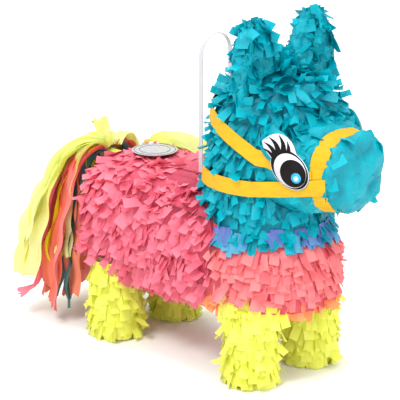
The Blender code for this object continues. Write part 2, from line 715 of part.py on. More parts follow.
def strap_edge(levels, share, nose_x, turns=13):
    """A line along a halter strip, from the right of the nose round the nape to the left.

    share is 0 at the strip's lower edge and 1 at its upper edge.
    """
    nose_level, level_of, over_lower = levels
    right = []
    for step in range(CHEEK_STEPS + 1):
        x = nose_x - CHEEK_STEP * step
        middle = cheek_level(nose_level, level_of(0.0), nose_x, x)
        low, high = middle - PAPER_STRAP_WIDTH / 2, middle + PAPER_STRAP_WIDTH / 2
        if over_lower:
            low = max(low, lower_strap_level(x) + PAPER_STRAP_WIDTH / 2 + 4 * GAP)
        z = low + (high - low) * share
        right.append(Vector((x + SHIFT_X, -halter_side(x, z), z)))
    for i in range(turns):
        back = i / (turns - 1)
        z = level_of(back) + PAPER_STRAP_WIDTH * (share - 0.5)
        centre, radius = column_at(z)
        angle = CHEEK_ANGLE + (math.pi - CHEEK_ANGLE) * back
        reach = radius + STRAP_LIFT
        right.append(Vector((centre + SHIFT_X + reach * math.cos(angle), -reach * math.sin(angle), z)))
    return right + [Vector((p.x, -p.y, p.z)) for p in reversed(right[:-1])]


def build_strap(name, levels, nose_x, rows=4):
    """A paper strip laid on the head and the muzzle, its level changing from the nose to the nape."""
    bm = bmesh.new()
    grid = []
    for row in range(rows):
        grid.append([bm.verts.new(p) for p in strap_edge(levels, row / (rows - 1), nose_x)])
    for low, high in zip(grid, grid[1:]):
        for i in range(len(low) - 1):
            bm.faces.new((low[i], low[i + 1], high[i + 1], high[i]))
    face_away_from(bm, at(HEAD_X, 0, LOWER_STRAP_Z))
    strap = add_object(name, bm, GOLD)
    thicken(strap, PAPER_STRAP, outward=True)


def build_halter():
    band_bm = loft(round_section("YZ", MUZZLE_SQUARENESS),
                   [muzzle_station(NOSE_BAND_X, -2 * GAP),
                    muzzle_station(NOSE_BAND_X + NOSE_BAND_WIDTH, -2 * GAP)])
    face_away_from(band_bm, at(NOSE_BAND_X, 0, MUZZLE_Z))
    band = add_object("halter_nose_band", band_bm, GOLD)
    thicken(band, PAPER_STRAP, outward=True)

    def lower_level(back):
        return LOWER_STRAP_Z + (LOWER_STRAP_BACK_Z - LOWER_STRAP_Z) * back

    def upper_level(back):
        rise = 1 - (1 - back) ** UPPER_STRAP_BEND
        return UPPER_STRAP_Z + (UPPER_STRAP_BACK_Z - UPPER_STRAP_Z) * rise

    build_strap("halter_lower_strap", (LOWER_STRAP_NOSE_Z, lower_level, False),
                NOSE_BAND_X + NOSE_BAND_WIDTH)
    build_strap("halter_upper_strap", (UPPER_STRAP_NOSE_Z, upper_level, True),
                NOSE_BAND_X + STRAP_ON_BAND)


def eye_outline(points=48):
    """The sticker's outline: an oval with a fan of lashes on its upper rear."""
    outline = []
    for i in range(points):
        turn = 2 * math.pi * i / points
        oval = 1 / math.hypot(math.cos(turn) / EYE_HALF_WIDTH, math.sin(turn) / EYE_HALF_HEIGHT)
        grown = min(max((turn - LASH_START) / (LASH_FULL - LASH_START), 0), 1)
        left = min(max((LASH_END - turn) / (LASH_END - LASH_LAST), 0), 1)
        reach = oval + LASH_REACH * min(math.sin(grown * math.pi / 2), left)
        outline.append((reach * math.cos(turn), reach * math.sin(turn)))
    return outline


def eye_plane_y():
    """Distance from the mid-plane at EYE_X of the eyes' plane, which leans in towards the nose."""
    lean = EYE_FACING + math.pi / 2
    reaches = []
    for u, v in eye_outline():
        for share in (0.0, 0.25, 0.5, 0.75, 1.0):
            forward = share * (u * math.cos(EYE_TILT) - v * math.sin(EYE_TILT)) * math.cos(lean)
            level = EYE_Z + share * (u * math.sin(EYE_TILT) + v * math.cos(EYE_TILT))
            reaches.append(halter_side(EYE_X + forward, level) + forward * math.tan(lean))
    return max(reaches) + PAPER_STRAP + EYE_CLEARANCE


def build_eyes():
    for side, label in ((-1, "right"), (1, "left")):
        curve = bpy.data.curves.new("eye_outline_" + label, "CURVE")
        curve.dimensions = "2D"
        curve.fill_mode = "BOTH"
        curve.extrude = PAPER_STRAP / 2
        outline = [(u, v, 0.0, 1.0) for u, v in eye_outline()]
        spline = curve.splines.new("POLY")
        spline.points.add(len(outline) - 1)
        for point, co in zip(spline.points, outline):
            point.co = co
        spline.use_cyclic_u = True
        shape = bpy.data.objects.new("eye_outline_" + label, curve)
        CUTTERS.objects.link(shape)
        bpy.context.view_layer.update()
        graph = bpy.context.evaluated_depsgraph_get()
        mesh = bpy.data.meshes.new_from_object(shape.evaluated_get(graph))
        bpy.data.objects.remove(shape)
        bm = bmesh.new()
        bm.from_mesh(mesh)
        bpy.data.meshes.remove(mesh)
        bmesh.ops.remove_doubles(bm, verts=bm.verts, dist=0.00001)
        stand_up = Matrix.Rotation(math.radians(90), 4, "X")
        tilt = Matrix.Rotation(-EYE_TILT, 4, "Y")
        face = Matrix.Rotation(EYE_FACING + math.radians(90), 4, "Z")
        place = Matrix.Translation(at(EYE_X, -eye_plane_y(), EYE_Z)) @ face @ tilt @ stand_up
        if side > 0:
            place = Matrix.Diagonal((1, -1, 1, 1)) @ place
        bmesh.ops.transform(bm, matrix=place, verts=bm.verts)
        bmesh.ops.recalc_face_normals(bm, faces=bm.faces)
        add_object("eye_sticker_" + label, bm, WHITE_STICKER, smooth=False)


# ---------------------------------------------------------------- tail
def tail_layer(name, depth, hem, material):
    """A fan of streamers: a drooping profile swept part of a turn about the tail's root."""
    step = TAIL_LAYER + 4 * GAP
    under = depth * step
    top = TAIL_ROOT_Z + TAIL_ROOT_RADIUS + TIE_THICKNESS + 2 * GAP + 2 * step + TAIL_LAYER
    profile = (
        (0.010, top), (0.040, top), (0.066, top - 0.013), (0.090, top - 0.044),
        (0.108, top - 0.095), (0.120, top - 0.155), (TAIL_REACH, hem + under),
    )
    bm = bmesh.new()
    root = at(TAIL_CENTRE_X, 0, 0)
    facets = 12 - 2 * depth
    spread = TAIL_SPREAD * facets / 12
    verts = []
    for out, level in profile:
        distance = max(out - under, 0.008)
        start = Vector((-math.cos(spread) * distance, -math.sin(spread) * distance, level - under))
        verts.append(bm.verts.new(root + start))
    edges = [bm.edges.new(pair) for pair in zip(verts, verts[1:])]
    bmesh.ops.spin(bm, geom=verts + edges, cent=root, axis=(0, 0, 1), angle=-2 * spread,
                   steps=facets, use_merge=False, use_duplicate=False)
    face_away_from(bm, root + Vector((0.02, 0, 0.05)))
    layer = add_object(name, bm, material)
    thicken(layer, TAIL_LAYER)


def along_x(radius, length, centre, points=24):
    bm = bmesh.new()
    bmesh.ops.create_cone(bm, cap_ends=True, segments=points, radius1=radius, radius2=radius,
                          depth=length)
    turn = Matrix.Rotation(math.radians(90), 4, "Y")
    bmesh.ops.transform(bm, matrix=Matrix.Translation(centre) @ turn, verts=bm.verts)
    return bm


def build_tail():
    bunch = along_x(TAIL_ROOT_RADIUS, TAIL_ROOT_LENGTH, at(TRUNK_REAR, 0, TAIL_ROOT_Z))
    add_object("tail_root", bunch, LIME)
    tie_radius = TAIL_ROOT_RADIUS + GAP
    tie_x = TRUNK_REAR - TAIL_ROOT_LENGTH / 2 + TIE_WIDTH
    band = loft(round_section("YZ", points=24),
                [station(at(x, 0, TAIL_ROOT_Z), (1.0, tie_radius, tie_radius))
                 for x in (tie_x - TIE_WIDTH / 2, tie_x + TIE_WIDTH / 2)])
    face_away_from(band, at(tie_x, 0, TAIL_ROOT_Z))
    tie = add_object("tail_tie", band, CLEAR_STRAP)
    thicken(tie, TIE_THICKNESS, outward=True)
    tail_layer("tail_streamers_outer", 0, TAIL_HEM, LIME)
    tail_layer("tail_streamers_middle", 1, TAIL_HEM + 0.012, CORAL)
    tail_layer("tail_streamers_inner", 2, TAIL_HEM + 0.022, TEAL)


# ---------------------------------------------------------------- pivots
def hang_from(name, location, pieces):
    """Parent the pieces that move together to an empty on their joint's axis, without moving them."""
    pivot = bpy.data.objects.new(name, None)
    pivot.empty_display_size = LOOP_HALF_SPAN
    pivot.location = location
    PARTS.objects.link(pivot)
    for piece in pieces:
        obj = bpy.data.objects[piece]
        obj.parent = pivot
        obj.matrix_parent_inverse = Matrix.Translation(location).inverted()


# ---------------------------------------------------------------- shared holes
rear_leg_cutters = [
    add_cutter("rear_leg_cutter", upright_cylinder(SHIFT_X, side * LEG_OFFSET_Y, LEG_RADIUS - SKIN + GAP,
                                                   0.0, REAR_LEG_TOP + GAP, LEG_POINTS))
    for side in (-1, 1)
]
ear_slot_cutters = [
    add_cutter("ear_slot_cutter", box(
        at(EAR_X - CARD / 2 - GAP, side * EAR_OFFSET_Y - EAR_CARD_HALF_WIDTH - GAP, HEAD_Z - 0.01),
        at(EAR_X + CARD / 2 + GAP, side * EAR_OFFSET_Y + EAR_CARD_HALF_WIDTH + GAP, EAR_CARD_TOP + GAP)))
    for side in (-1, 1)
]
tail_hole_cutter = add_cutter("tail_hole_cutter", along_x(TAIL_ROOT_RADIUS + GAP, 0.12,
                                                          at(TRUNK_REAR, 0, TAIL_ROOT_Z)))

build_trunk()
build_hatch()
build_hanger()
build_column()
build_muzzle()
build_ears()
build_legs()
build_halter()
build_eyes()
build_tail()

hang_from("hatch_hinge", at(FLAP_REAR_X, 0, TRUNK_TOP), ("fill_flap", "flap_fringe", "flap_label"))
hang_from("loop_pivot", at(LOOP_X, 0, loop_pivot_level()), ("hanging_loop",))
hang_from("tail_pivot", at(TAIL_CENTRE_X, 0, TAIL_PIVOT_Z),
          ("tail_streamers_outer", "tail_streamers_middle", "tail_streamers_inner"))
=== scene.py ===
# %% [markdown]
# # A donkey pinata in cut tissue
# A pinata is a hollow card animal, filled with sweets, that hangs from a loop and is dressed in tissue
# paper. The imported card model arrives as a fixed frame. Everything here is dressing: rows of tissue
# cut into tabs, crumpled paper on the ears and the muzzle, a paper halter, stuck-on eyes and a tail
# of streamers. The fringe could be a displaced or hairy surface, but real tabs overlap, lift and cast
# shadows on each other, so each tab is a small sheet of its own. Every piece takes its place from the
# card shapes below it, and rides on their body.

# %% Load the card model and keep its box
import math
import random

import bmesh
import bpy
from mathutils import Matrix, Vector, noise
from mathutils.bvhtree import BVHTree


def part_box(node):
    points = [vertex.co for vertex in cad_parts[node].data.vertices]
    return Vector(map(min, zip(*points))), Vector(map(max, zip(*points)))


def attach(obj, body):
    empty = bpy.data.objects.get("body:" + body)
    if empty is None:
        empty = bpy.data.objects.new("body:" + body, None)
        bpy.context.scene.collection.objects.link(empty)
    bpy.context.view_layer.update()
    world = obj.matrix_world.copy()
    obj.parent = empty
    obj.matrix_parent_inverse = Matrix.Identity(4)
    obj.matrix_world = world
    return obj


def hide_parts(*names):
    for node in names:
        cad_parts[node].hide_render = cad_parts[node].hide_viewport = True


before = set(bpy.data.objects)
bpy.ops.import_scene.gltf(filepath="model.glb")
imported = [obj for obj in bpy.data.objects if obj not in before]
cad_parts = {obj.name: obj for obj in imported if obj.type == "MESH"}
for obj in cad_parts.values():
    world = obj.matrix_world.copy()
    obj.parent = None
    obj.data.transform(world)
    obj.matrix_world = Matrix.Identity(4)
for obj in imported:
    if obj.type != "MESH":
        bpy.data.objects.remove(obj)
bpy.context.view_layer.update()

# %% [markdown]
# ## Camera
# A toy is best shown from its front quarter, a little from above, so that the face, one flank and the
# back are all seen. A short lens close by would swell the muzzle. A long lens from three metres keeps
# the proportions calm. The camera is moved a little along its own axes to frame the picture.

# %% Camera
CAMERA_AZIMUTH = math.radians(45.2)
CAMERA_HEIGHT = math.radians(16.8)
CAMERA_DISTANCE = 3.0
CAMERA_LENS = 211.4
CAMERA_TARGET = Vector((0.0275, 0.0, 0.2))
SIDE_STEP, RISE = -0.0124, -0.0013

back = Vector((math.sin(CAMERA_AZIMUTH) * math.cos(CAMERA_HEIGHT),
               -math.cos(CAMERA_AZIMUTH) * math.cos(CAMERA_HEIGHT), math.sin(CAMERA_HEIGHT)))
camera = bpy.data.objects.new("camera", bpy.data.cameras.new("camera"))
bpy.context.scene.collection.objects.link(camera)
camera.data.lens = CAMERA_LENS
camera.data.clip_end = 20
camera.rotation_mode = "QUATERNION"
camera.rotation_quaternion = (-back).to_track_quat("-Z", "Y")
sideways = camera.rotation_quaternion @ Vector((1, 0, 0))
upwards = camera.rotation_quaternion @ Vector((0, 1, 0))
camera.location = CAMERA_TARGET + back * CAMERA_DISTANCE + sideways * SIDE_STEP + upwards * RISE
bpy.context.scene.camera = camera
print("camera at", tuple(round(c, 3) for c in camera.location))

# %% [markdown]
# ## Floor and light
# A product is shown on a pale floor under large soft lamps. A sun or a point lamp would be simpler to
# set, but throws hard shadows that break thin paper up. Discs of light from the front and above keep
# the shadows between the tabs soft, and a pale world fills them.

# %% Lamps and world
LAMP_AIM = Vector((0, 0, 0.2))


def lamp(name, place, size, power):
    light = bpy.data.lights.new(name, "AREA")
    light.shape = "DISK"
    light.size = size
    light.energy = power
    obj = bpy.data.objects.new(name, light)
    bpy.context.scene.collection.objects.link(obj)
    obj.location = place
    obj.rotation_mode = "QUATERNION"
    obj.rotation_quaternion = (LAMP_AIM - Vector(place)).to_track_quat("-Z", "Y")
    print(name, size, "m wide,", power, "W")


lamp("key_lamp", (0.6, -2.0, 2.8), 1.1, 66)
lamp("fill_lamp", (2.8, -0.4, 1.1), 2.0, 34)
lamp("rim_lamp", (-2.2, 1.2, 2.2), 1.6, 26)
lamp("top_lamp", (-0.4, 0.0, 3.4), 3.0, 52)
world = bpy.data.worlds.new("studio")
world.use_nodes = True
world.node_tree.nodes["Background"].inputs["Color"].default_value = (1.0, 1.0, 1.0, 1)
world.node_tree.nodes["Background"].inputs["Strength"].default_value = 0.80
bpy.context.scene.world = world
bpy.context.scene.view_settings.view_transform = "Standard"

# %% Floor
FLOOR_HALF = 6.0
FLOOR_LEVEL = -0.0002
floor_mesh = bmesh.new()
bmesh.ops.create_grid(floor_mesh, x_segments=8, y_segments=8, size=FLOOR_HALF)
floor_data = bpy.data.meshes.new("floor")
floor_mesh.to_mesh(floor_data)
floor_mesh.free()
floor = bpy.data.objects.new("floor", floor_data)
bpy.context.scene.collection.objects.link(floor)
floor.location.z = FLOOR_LEVEL
floor_paint = bpy.data.materials.new("pale_floor")
floor_paint.use_nodes = True
floor_shader = floor_paint.node_tree.nodes["Principled BSDF"]
floor_shader.inputs["Base Color"].default_value = (0.97, 0.97, 0.97, 1)
floor_shader.inputs["Roughness"].default_value = 0.9
floor_data.materials.append(floor_paint)
print("floor", 2 * FLOOR_HALF, "m wide")

# %% [markdown]
# ## Tissue paper
# Tissue is thin: it lets light through, has a faint gloss on its creases and is never one even
# colour. One flat colour would make the rows melt together, and a material for each tab would be
# endless. So each tab carries a random shade and its place from root to tip as attributes, and one
# material mixes a deep and a bright tone by them, wrinkles the surface and adds a translucent share.
# The tips are mixed towards a light tip colour: painted light shining through them, with the roots
# left darker as painted shade.

# %% Material helpers
def blank_material(name):
    material = bpy.data.materials.new(name)
    material.use_nodes = True
    nodes, links = material.node_tree.nodes, material.node_tree.links
    return material, nodes, links, nodes["Principled BSDF"]


def cloudy(nodes, links, place, scale, detail):
    """A noise texture read at a place, given as a socket."""
    cloud = nodes.new("ShaderNodeTexNoise")
    cloud.inputs["Scale"].default_value = scale
    cloud.inputs["Detail"].default_value = detail
    links.new(place, cloud.inputs["Vector"])
    return cloud.outputs["Fac"]


def two_tones(nodes, links, factor, deep, bright, start, end):
    """A ramp from a deep to a bright colour between two values of the factor."""
    tones = nodes.new("ShaderNodeValToRGB")
    for element, stop, colour in zip(tones.color_ramp.elements, (start, end), (deep, bright)):
        element.position = stop
        element.color = (*colour, 1)
    links.new(factor, tones.inputs["Fac"])
    return tones.outputs["Color"]


def roughen(nodes, links, shader, height, strength, distance):
    """Bump a shader's surface by a height."""
    bump = nodes.new("ShaderNodeBump")
    bump.inputs["Strength"].default_value = strength
    bump.inputs["Distance"].default_value = distance
    links.new(height, bump.inputs["Height"])
    links.new(bump.outputs["Normal"], shader.inputs["Normal"])


print("four material helpers")

# %% Tissue material
CLOUD_SHARE = 0.5
# How far the tips are mixed towards their tip colour: painted light shining through them.
TIP_GLOW_SHARE = 0.55
FINE_GRAIN = 3.2


def tissue(name, deep, bright, tip, gloss=0.5, see_through=0.28, wrinkle=0.35, grain=90.0):
    material, nodes, links, shader = blank_material(name)
    place = nodes.new("ShaderNodeTexCoord").outputs["Object"]
    shade = nodes.new("ShaderNodeAttribute")
    shade.attribute_name = "shade"
    along = nodes.new("ShaderNodeAttribute")
    along.attribute_name = "along"
    cloud = cloudy(nodes, links, place, grain, 3.0)
    blend = nodes.new("ShaderNodeMath")
    blend.operation = "MULTIPLY_ADD"
    links.new(cloud, blend.inputs[0])
    blend.inputs[1].default_value = CLOUD_SHARE
    links.new(shade.outputs["Fac"], blend.inputs[2])
    tones = two_tones(nodes, links, blend.outputs[0], deep, bright, 0.18, 0.95)
    # Painted light: along each tab the colour is mixed towards the tip colour, as light shining through
    # the tips, so the roots stay darker as painted shade.
    tip_glow_mix = nodes.new("ShaderNodeMix")
    tip_glow_mix.data_type = "RGBA"
    reach = nodes.new("ShaderNodeMath")
    reach.operation = "MULTIPLY"
    reach.inputs[1].default_value = TIP_GLOW_SHARE
    links.new(along.outputs["Fac"], reach.inputs[0])
    links.new(reach.outputs[0], tip_glow_mix.inputs["Factor"])
    links.new(tones, tip_glow_mix.inputs[6])
    tip_glow_mix.inputs[7].default_value = (*tip, 1)
    links.new(tip_glow_mix.outputs[2], shader.inputs["Base Color"])
    shader.inputs["Roughness"].default_value = gloss
    shader.inputs["Specular IOR Level"].default_value = 0.22
    fine = cloudy(nodes, links, place, grain * FINE_GRAIN, 4.0)
    roughen(nodes, links, shader, fine, wrinkle, 0.002)
    through = nodes.new("ShaderNodeBsdfTranslucent")
    links.new(tip_glow_mix.outputs[2], through.inputs["Color"])
    mixed = nodes.new("ShaderNodeMixShader")
    mixed.inputs["Fac"].default_value = see_through
    links.new(shader.outputs[0], mixed.inputs[1])
    links.new(through.outputs[0], mixed.inputs[2])
    links.new(mixed.outputs[0], nodes["Material Output"].inputs["Surface"])
    return material


# %% Tissue colours
# The third colour of each paper is the light tone its tips are mixed towards: painted light shining
# through the tips.
PINK = tissue("pink_tissue", (0.66, 0.060, 0.120), (0.92, 0.235, 0.320), (0.94, 0.26, 0.35))
CHEST_PINK = tissue("warm_pink_tissue", (0.66, 0.060, 0.095), (0.92, 0.25, 0.26), (0.94, 0.28, 0.29))
CORAL = tissue("coral_tissue", (0.80, 0.09, 0.05), (0.95, 0.24, 0.14), (0.95, 0.30, 0.20))
SALMON = tissue("salmon_tissue", (0.78, 0.12, 0.14), (0.93, 0.26, 0.26), (0.94, 0.28, 0.28))
TURQUOISE = tissue("turquoise_tissue", (0.0, 0.15, 0.22), (0.0, 0.43, 0.53), (0.0, 0.46, 0.56), gloss=0.42)
YELLOW = tissue("yellow_tissue", (0.74, 0.78, 0.04), (0.94, 0.96, 0.17), (0.95, 0.97, 0.20),
                see_through=0.35)
VIOLET = tissue("violet_tissue", (0.10, 0.13, 0.45), (0.20, 0.26, 0.62), (0.08, 0.36, 0.60))
BLUE = tissue("blue_tissue", (0.02, 0.26, 0.50), (0.10, 0.42, 0.64), (0.14, 0.46, 0.68))
LIME = tissue("lime_streamer", (0.80, 0.88, 0.14), (0.92, 0.97, 0.46), (0.90, 0.95, 0.42),
              see_through=0.42)
SUNNY = tissue("yellow_streamer", (0.86, 0.74, 0.01), (0.95, 0.90, 0.03), (0.90, 0.90, 0.06),
               see_through=0.4)
TEAL = tissue("teal_streamer", (0.03, 0.12, 0.13), (0.10, 0.26, 0.27), (0.12, 0.30, 0.31))
PEACH = tissue("peach_tissue", (0.90, 0.18, 0.09), (1.0, 0.36, 0.17), (1.0, 0.42, 0.16), see_through=0.4)
PRESSED = tissue("pressed_turquoise_tissue", (0.0, 0.15, 0.21), (0.0, 0.34, 0.42), (0.0, 0.35, 0.43),
                 gloss=0.45, see_through=0.06, wrinkle=0.22)
print("papers:", [m.name for m in bpy.data.materials if m.name.endswith(("tissue", "streamer"))])

# %% [markdown]
# ## Card shapes as guides
# On the real animal the strips are glued on the card by eye. Here the fringed skins of the card model
# show where the tips of the tabs should reach. Each tab could be placed by hand or scattered, but rows
# have to stay level. A ray sent from outside towards the middle of a limb finds the skin and its
# normal at any height and angle, so no place is typed twice.

# %% Rays onto the card shapes
def tree_of(*names):
    points, faces = [], []
    for name in names:
        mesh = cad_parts[name].data
        base = len(points)
        points += [v.co.copy() for v in mesh.vertices]
        faces += [[base + i for i in p.vertices] for p in mesh.polygons]
    return BVHTree.FromPolygons(points, faces)


SKINS = ["trunk_fringe", "chest_fringe", "neck_fringe", "head_fringe", "muzzle_wrap", "flap_fringe",
         "ear_fringe_left", "ear_fringe_right", "leg_fringe_front_left", "leg_fringe_front_right",
         "leg_fringe_rear_left", "leg_fringe_rear_right"]
skin_trees = {name: tree_of(name) for name in SKINS}


def outer_hit(middle, outwards, reach, wanted, nearest=0.01, others=True):
    """Place and normal of the outermost skin met from outside; None unless it is a wanted one."""
    start = middle + outwards * reach
    best = None
    for name in (SKINS if others else wanted):
        place, normal, _, distance = skin_trees[name].ray_cast(start, -outwards, reach)
        if place is not None and (best is None or distance < best[0]):
            best = (distance, name, place, normal)
    if best is None or best[1] not in wanted or reach - best[0] < nearest:
        return None
    normal = best[3] if best[3].dot(outwards) > 0 else -best[3]
    return best[2], normal


print(len(skin_trees), "skins to aim at")

# %% [markdown]
# ## One paper tab
# A fringe strip is cut nearly through from one edge, so a tab is glued at its root and free below. One
# shared tab, copied, would repeat visibly. So each tab starts as the same small grid, and its rows of
# points are then led along a bent path of their own: it lifts off the surface, sways, twists and
# sometimes has a sharp fold.

# %% The tab
TAB_ROWS = 5
STEEPEST, FLATTEST = 1.5, 0.04
tab_grid = bmesh.new()
tab_grid.loops.layers.uv.new("paper")
bmesh.ops.create_grid(tab_grid, x_segments=2, y_segments=TAB_ROWS, size=0.5, calc_uvs=True)
TAB = bpy.data.meshes.new("tab")
tab_grid.to_mesh(TAB)
tab_grid.free()


def new_paper():
    bm = bmesh.new()
    bm.verts.layers.float.new("shade")
    bm.verts.layers.float.new("along")
    return bm


def hang_tab(bm, root, normal, down, width, length, rng, lift=0.3, curl=0.35, sway=0.3, twist=0.6,
             header=0.008, fold=0.25):
    """Add one tab. lift is its first angle off the surface, curl what it gains by the tip, header
    the glued part above the root, and fold how often it has a sharp crease."""
    down = (down - normal * down.dot(normal)).normalized()
    turn = rng.gauss(0, sway)
    free = Matrix.Rotation(turn, 3, normal) @ down
    bend = lift * rng.uniform(0.5, 1.5)
    gain = curl * rng.uniform(-0.6, 1.4)
    spin = rng.gauss(0, twist)
    crease = rng.randrange(2, TAB_ROWS) if rng.random() < fold else 0
    crease_angle = rng.uniform(-1.0, 1.0)
    ridge = rng.gauss(0, 0.0016)
    across = normal.cross(down).normalized()
    step = length / (TAB_ROWS - 1)
    rows = [(root - down * header, across, normal)]
    centre = root.copy()
    rows.append((centre.copy(), across, normal))
    for i in range(2, TAB_ROWS + 1):
        share = (i - 1) / (TAB_ROWS - 1)
        angle = bend + gain * share + rng.gauss(0, 0.13)
        if crease and i >= crease:
            angle += crease_angle
        angle = max(min(angle, STEEPEST), FLATTEST)
        way = free * math.cos(angle) + normal * math.sin(angle)
        face = normal * math.cos(angle) - free * math.sin(angle)
        centre = centre + way * step
        side = Matrix.Rotation(spin * share, 3, way) @ face.cross(way).normalized()
        rows.append((centre.copy(), -side if side.dot(across) < 0 else side, face))
    tone = rng.random()
    skew = rng.uniform(-0.12, 0.12)
    first = len(bm.verts)
    bm.from_mesh(TAB)
    bm.verts.ensure_lookup_table()
    shade, along = bm.verts.layers.float["shade"], bm.verts.layers.float["along"]
    for v in bm.verts[first:]:
        u, row = v.co.x, round((0.5 - v.co.y) * TAB_ROWS)
        middle, side, face = rows[row]
        v.co = middle + side * (u * width) + face * (ridge * min(row, 2) / 2 * (1 - 4 * u * u))
        if row == TAB_ROWS:
            v.co += (middle - rows[row - 1][0]) * (skew * u * 2)
        v[shade] = tone
        # The tab's place from root to tip, which drives the painted light at the tips and the painted
        # shade at the roots in the material.
        v[along] = row / TAB_ROWS


print("a tab has", len(TAB.polygons), "faces")

# %% Finishing a piece of paper
def finish_paper(name, bm, material, body, replaces=()):
    mesh = bpy.data.meshes.new(name)
    bm.to_mesh(mesh)
    bm.free()
    mesh.materials.append(material)
    mesh.shade_smooth()
    obj = bpy.data.objects.new(name, mesh)
    bpy.context.scene.collection.objects.link(obj)
    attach(obj, body)
    if replaces:
        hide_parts(*replaces)
    print(name, len(mesh.polygons), "faces")
    return obj


# Painted shade: the drawn-in skin is given a low shade, so it takes the deep tone in the gaps between the
# tabs.
GAP_PAINTED_SHADE = 0.12


def add_skin(bm, name, outwards_at, depth=0.0052):
    """The card model's fringed skin, drawn in below the tabs: the paper that shows between them, in
    the deep tone as painted shade. It is merged in a mesh of its own, because merging would disturb
    the order of bm's points."""
    skin = new_paper()
    skin.from_mesh(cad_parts[name].data)
    bmesh.ops.remove_doubles(skin, verts=skin.verts, dist=0.00002)
    skin.normal_update()
    shade = skin.verts.layers.float["shade"]
    for v in skin.verts:
        v[shade] = GAP_PAINTED_SHADE
        if v.normal.dot(outwards_at(v.co)) > 0.2:
            v.co -= v.normal * depth
    merged = bpy.data.meshes.new(name + "_drawn_in")
    skin.to_mesh(merged)
    skin.free()
    bm.from_mesh(merged)
    bpy.data.meshes.remove(merged)


print("skins are drawn in and shaded", GAP_PAINTED_SHADE)

# %% [markdown]
# ## Tucking paper under what lies on it
# The halter, the eyes and the label are glued on last and press the tabs down. A boolean cut would
# leave holes in the paper. Instead, points that would come through one of them are moved back along
# a ray until they lie just below it.

# %% Covers that press the tabs flat
halter_tree = tree_of("halter_lower_strap", "halter_upper_strap", "halter_nose_band")
eye_tree = tree_of("eye_sticker_left", "eye_sticker_right")
UNDER = 0.0020
JUST_OUTSIDE = 0.0015
TUCK_REACH = 0.03


def tuck_under(bm, tree, outwards_at, under=UNDER):
    """Move the points that lie over a cover to just below it, and count them."""
    moved = 0
    for v in bm.verts:
        outwards = outwards_at(v.co)
        place = tree.ray_cast(v.co + outwards * JUST_OUTSIDE, -outwards, TUCK_REACH)[0]
        if place is not None:
            v.co = place - outwards * under
            moved += 1
    return moved


def eye_out(point):
    """Outwards from the head's side, at an eye."""
    return Vector((0.25, math.copysign(1, point.y), 0)).normalized()


print("paper is kept", UNDER, "m below its covers")

# %% [markdown]
# ## Column of chest, neck and head
# The chest, the neck and the head are one upright tube of card, wound with fringed strips. The strips
# could be one long spiral, but their cut edges run level, so they are level rings, each overlapping
# the one below it, from the hem upwards. A ring's middle follows the card column, which leans a
# little forward at the head.

# %% The column's shape
chest_low, chest_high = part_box("chest_fringe")
neck_low, neck_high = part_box("neck_fringe")
head_low, head_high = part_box("head_fringe")
muzzle_low, muzzle_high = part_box("muzzle_wrap")
CHEST_X = sum(corner.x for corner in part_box("chest_floor")) / 2
HEAD_X = (head_low.x + head_high.x) / 2
CHEST_RADIUS, HEM_RADIUS, NECK_RADIUS = 0.089, 0.086, 0.082
TAB_PITCH = 0.0092
ROW_STEP = 0.0105
DOWN = Vector((0, 0, -1))


def column_middle(z):
    share = min(max((z - chest_high.z) / (head_low.z - chest_high.z), 0.0), 1.0)
    return Vector((CHEST_X + (HEAD_X - CHEST_X) * share, 0, z))


def column_out(point):
    middle = column_middle(point.z)
    return Vector((point.x - middle.x, point.y, 0)).normalized()


print("the column's middle runs from x", round(CHEST_X, 4), "to", round(HEAD_X, 4))


# %% Rings of tabs round the column
RING_REACH = 0.045


def ring(bm, z, radius, wanted, rng, inset=0.006, width=0.0105, length=0.022, where=None, **shape):
    """A level ring of tabs round the column, rooted an inset below the skin; counts its tabs."""
    count = round(2 * math.pi * radius / TAB_PITCH)
    start = rng.random()
    made = 0
    for i in range(count):
        angle = 2 * math.pi * (i + start) / count
        outwards = Vector((math.cos(angle), math.sin(angle), 0))
        level = z + rng.gauss(0, 0.0012)
        hit = outer_hit(column_middle(level), outwards, radius + RING_REACH, wanted)
        if hit is None or (where and not where(hit[0])):
            continue
        place, normal = hit
        hang_tab(bm, place - normal * inset, normal, DOWN, width * rng.uniform(0.85, 1.2),
                 length * rng.uniform(0.8, 1.15), rng, **shape)
        made += 1
    return made


rng = random.Random(4)
chest = new_paper()
add_skin(chest, "chest_fringe", column_out)
z, made = chest_low.z + 0.033, 0
while z < chest_high.z + 0.006:
    made += ring(chest, z, CHEST_RADIUS, ["chest_fringe", "neck_fringe"], rng, width=0.0118, length=0.0235,
                 lift=0.20, curl=0.26, sway=0.16, twist=0.4)
    z += ROW_STEP
print("chest tabs", made)
finish_paper("chest_tissue", chest, CHEST_PINK, "root", ["chest_fringe"])

# %% [markdown]
# The chest's lowest strips are peach, and above each front leg the leg's yellow climbs over them. The
# border could be a line drawn by hand. A distance from the top of each leg, made uneven by noise,
# gives the same ragged edge and follows the legs if they move.

# %% Lower edge of the chest
CLIMB, CLIMB_RAGGED = 0.050, 0.006
FRONT_LEG_TOPS = []
for leg in ("front_left", "front_right"):
    low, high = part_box("leg_fringe_" + leg)
    FRONT_LEG_TOPS.append(Vector(((low.x + high.x) / 2 + 0.012, (low.y + high.y) * 0.62,
                                  chest_low.z - 0.014)))


def over_front_leg(point):
    """True where the yellow of a front leg climbs over the chest's lower edge."""
    nearest = min((point - top).length for top in FRONT_LEG_TOPS)
    return nearest < CLIMB + CLIMB_RAGGED * noise.noise(point * 60)


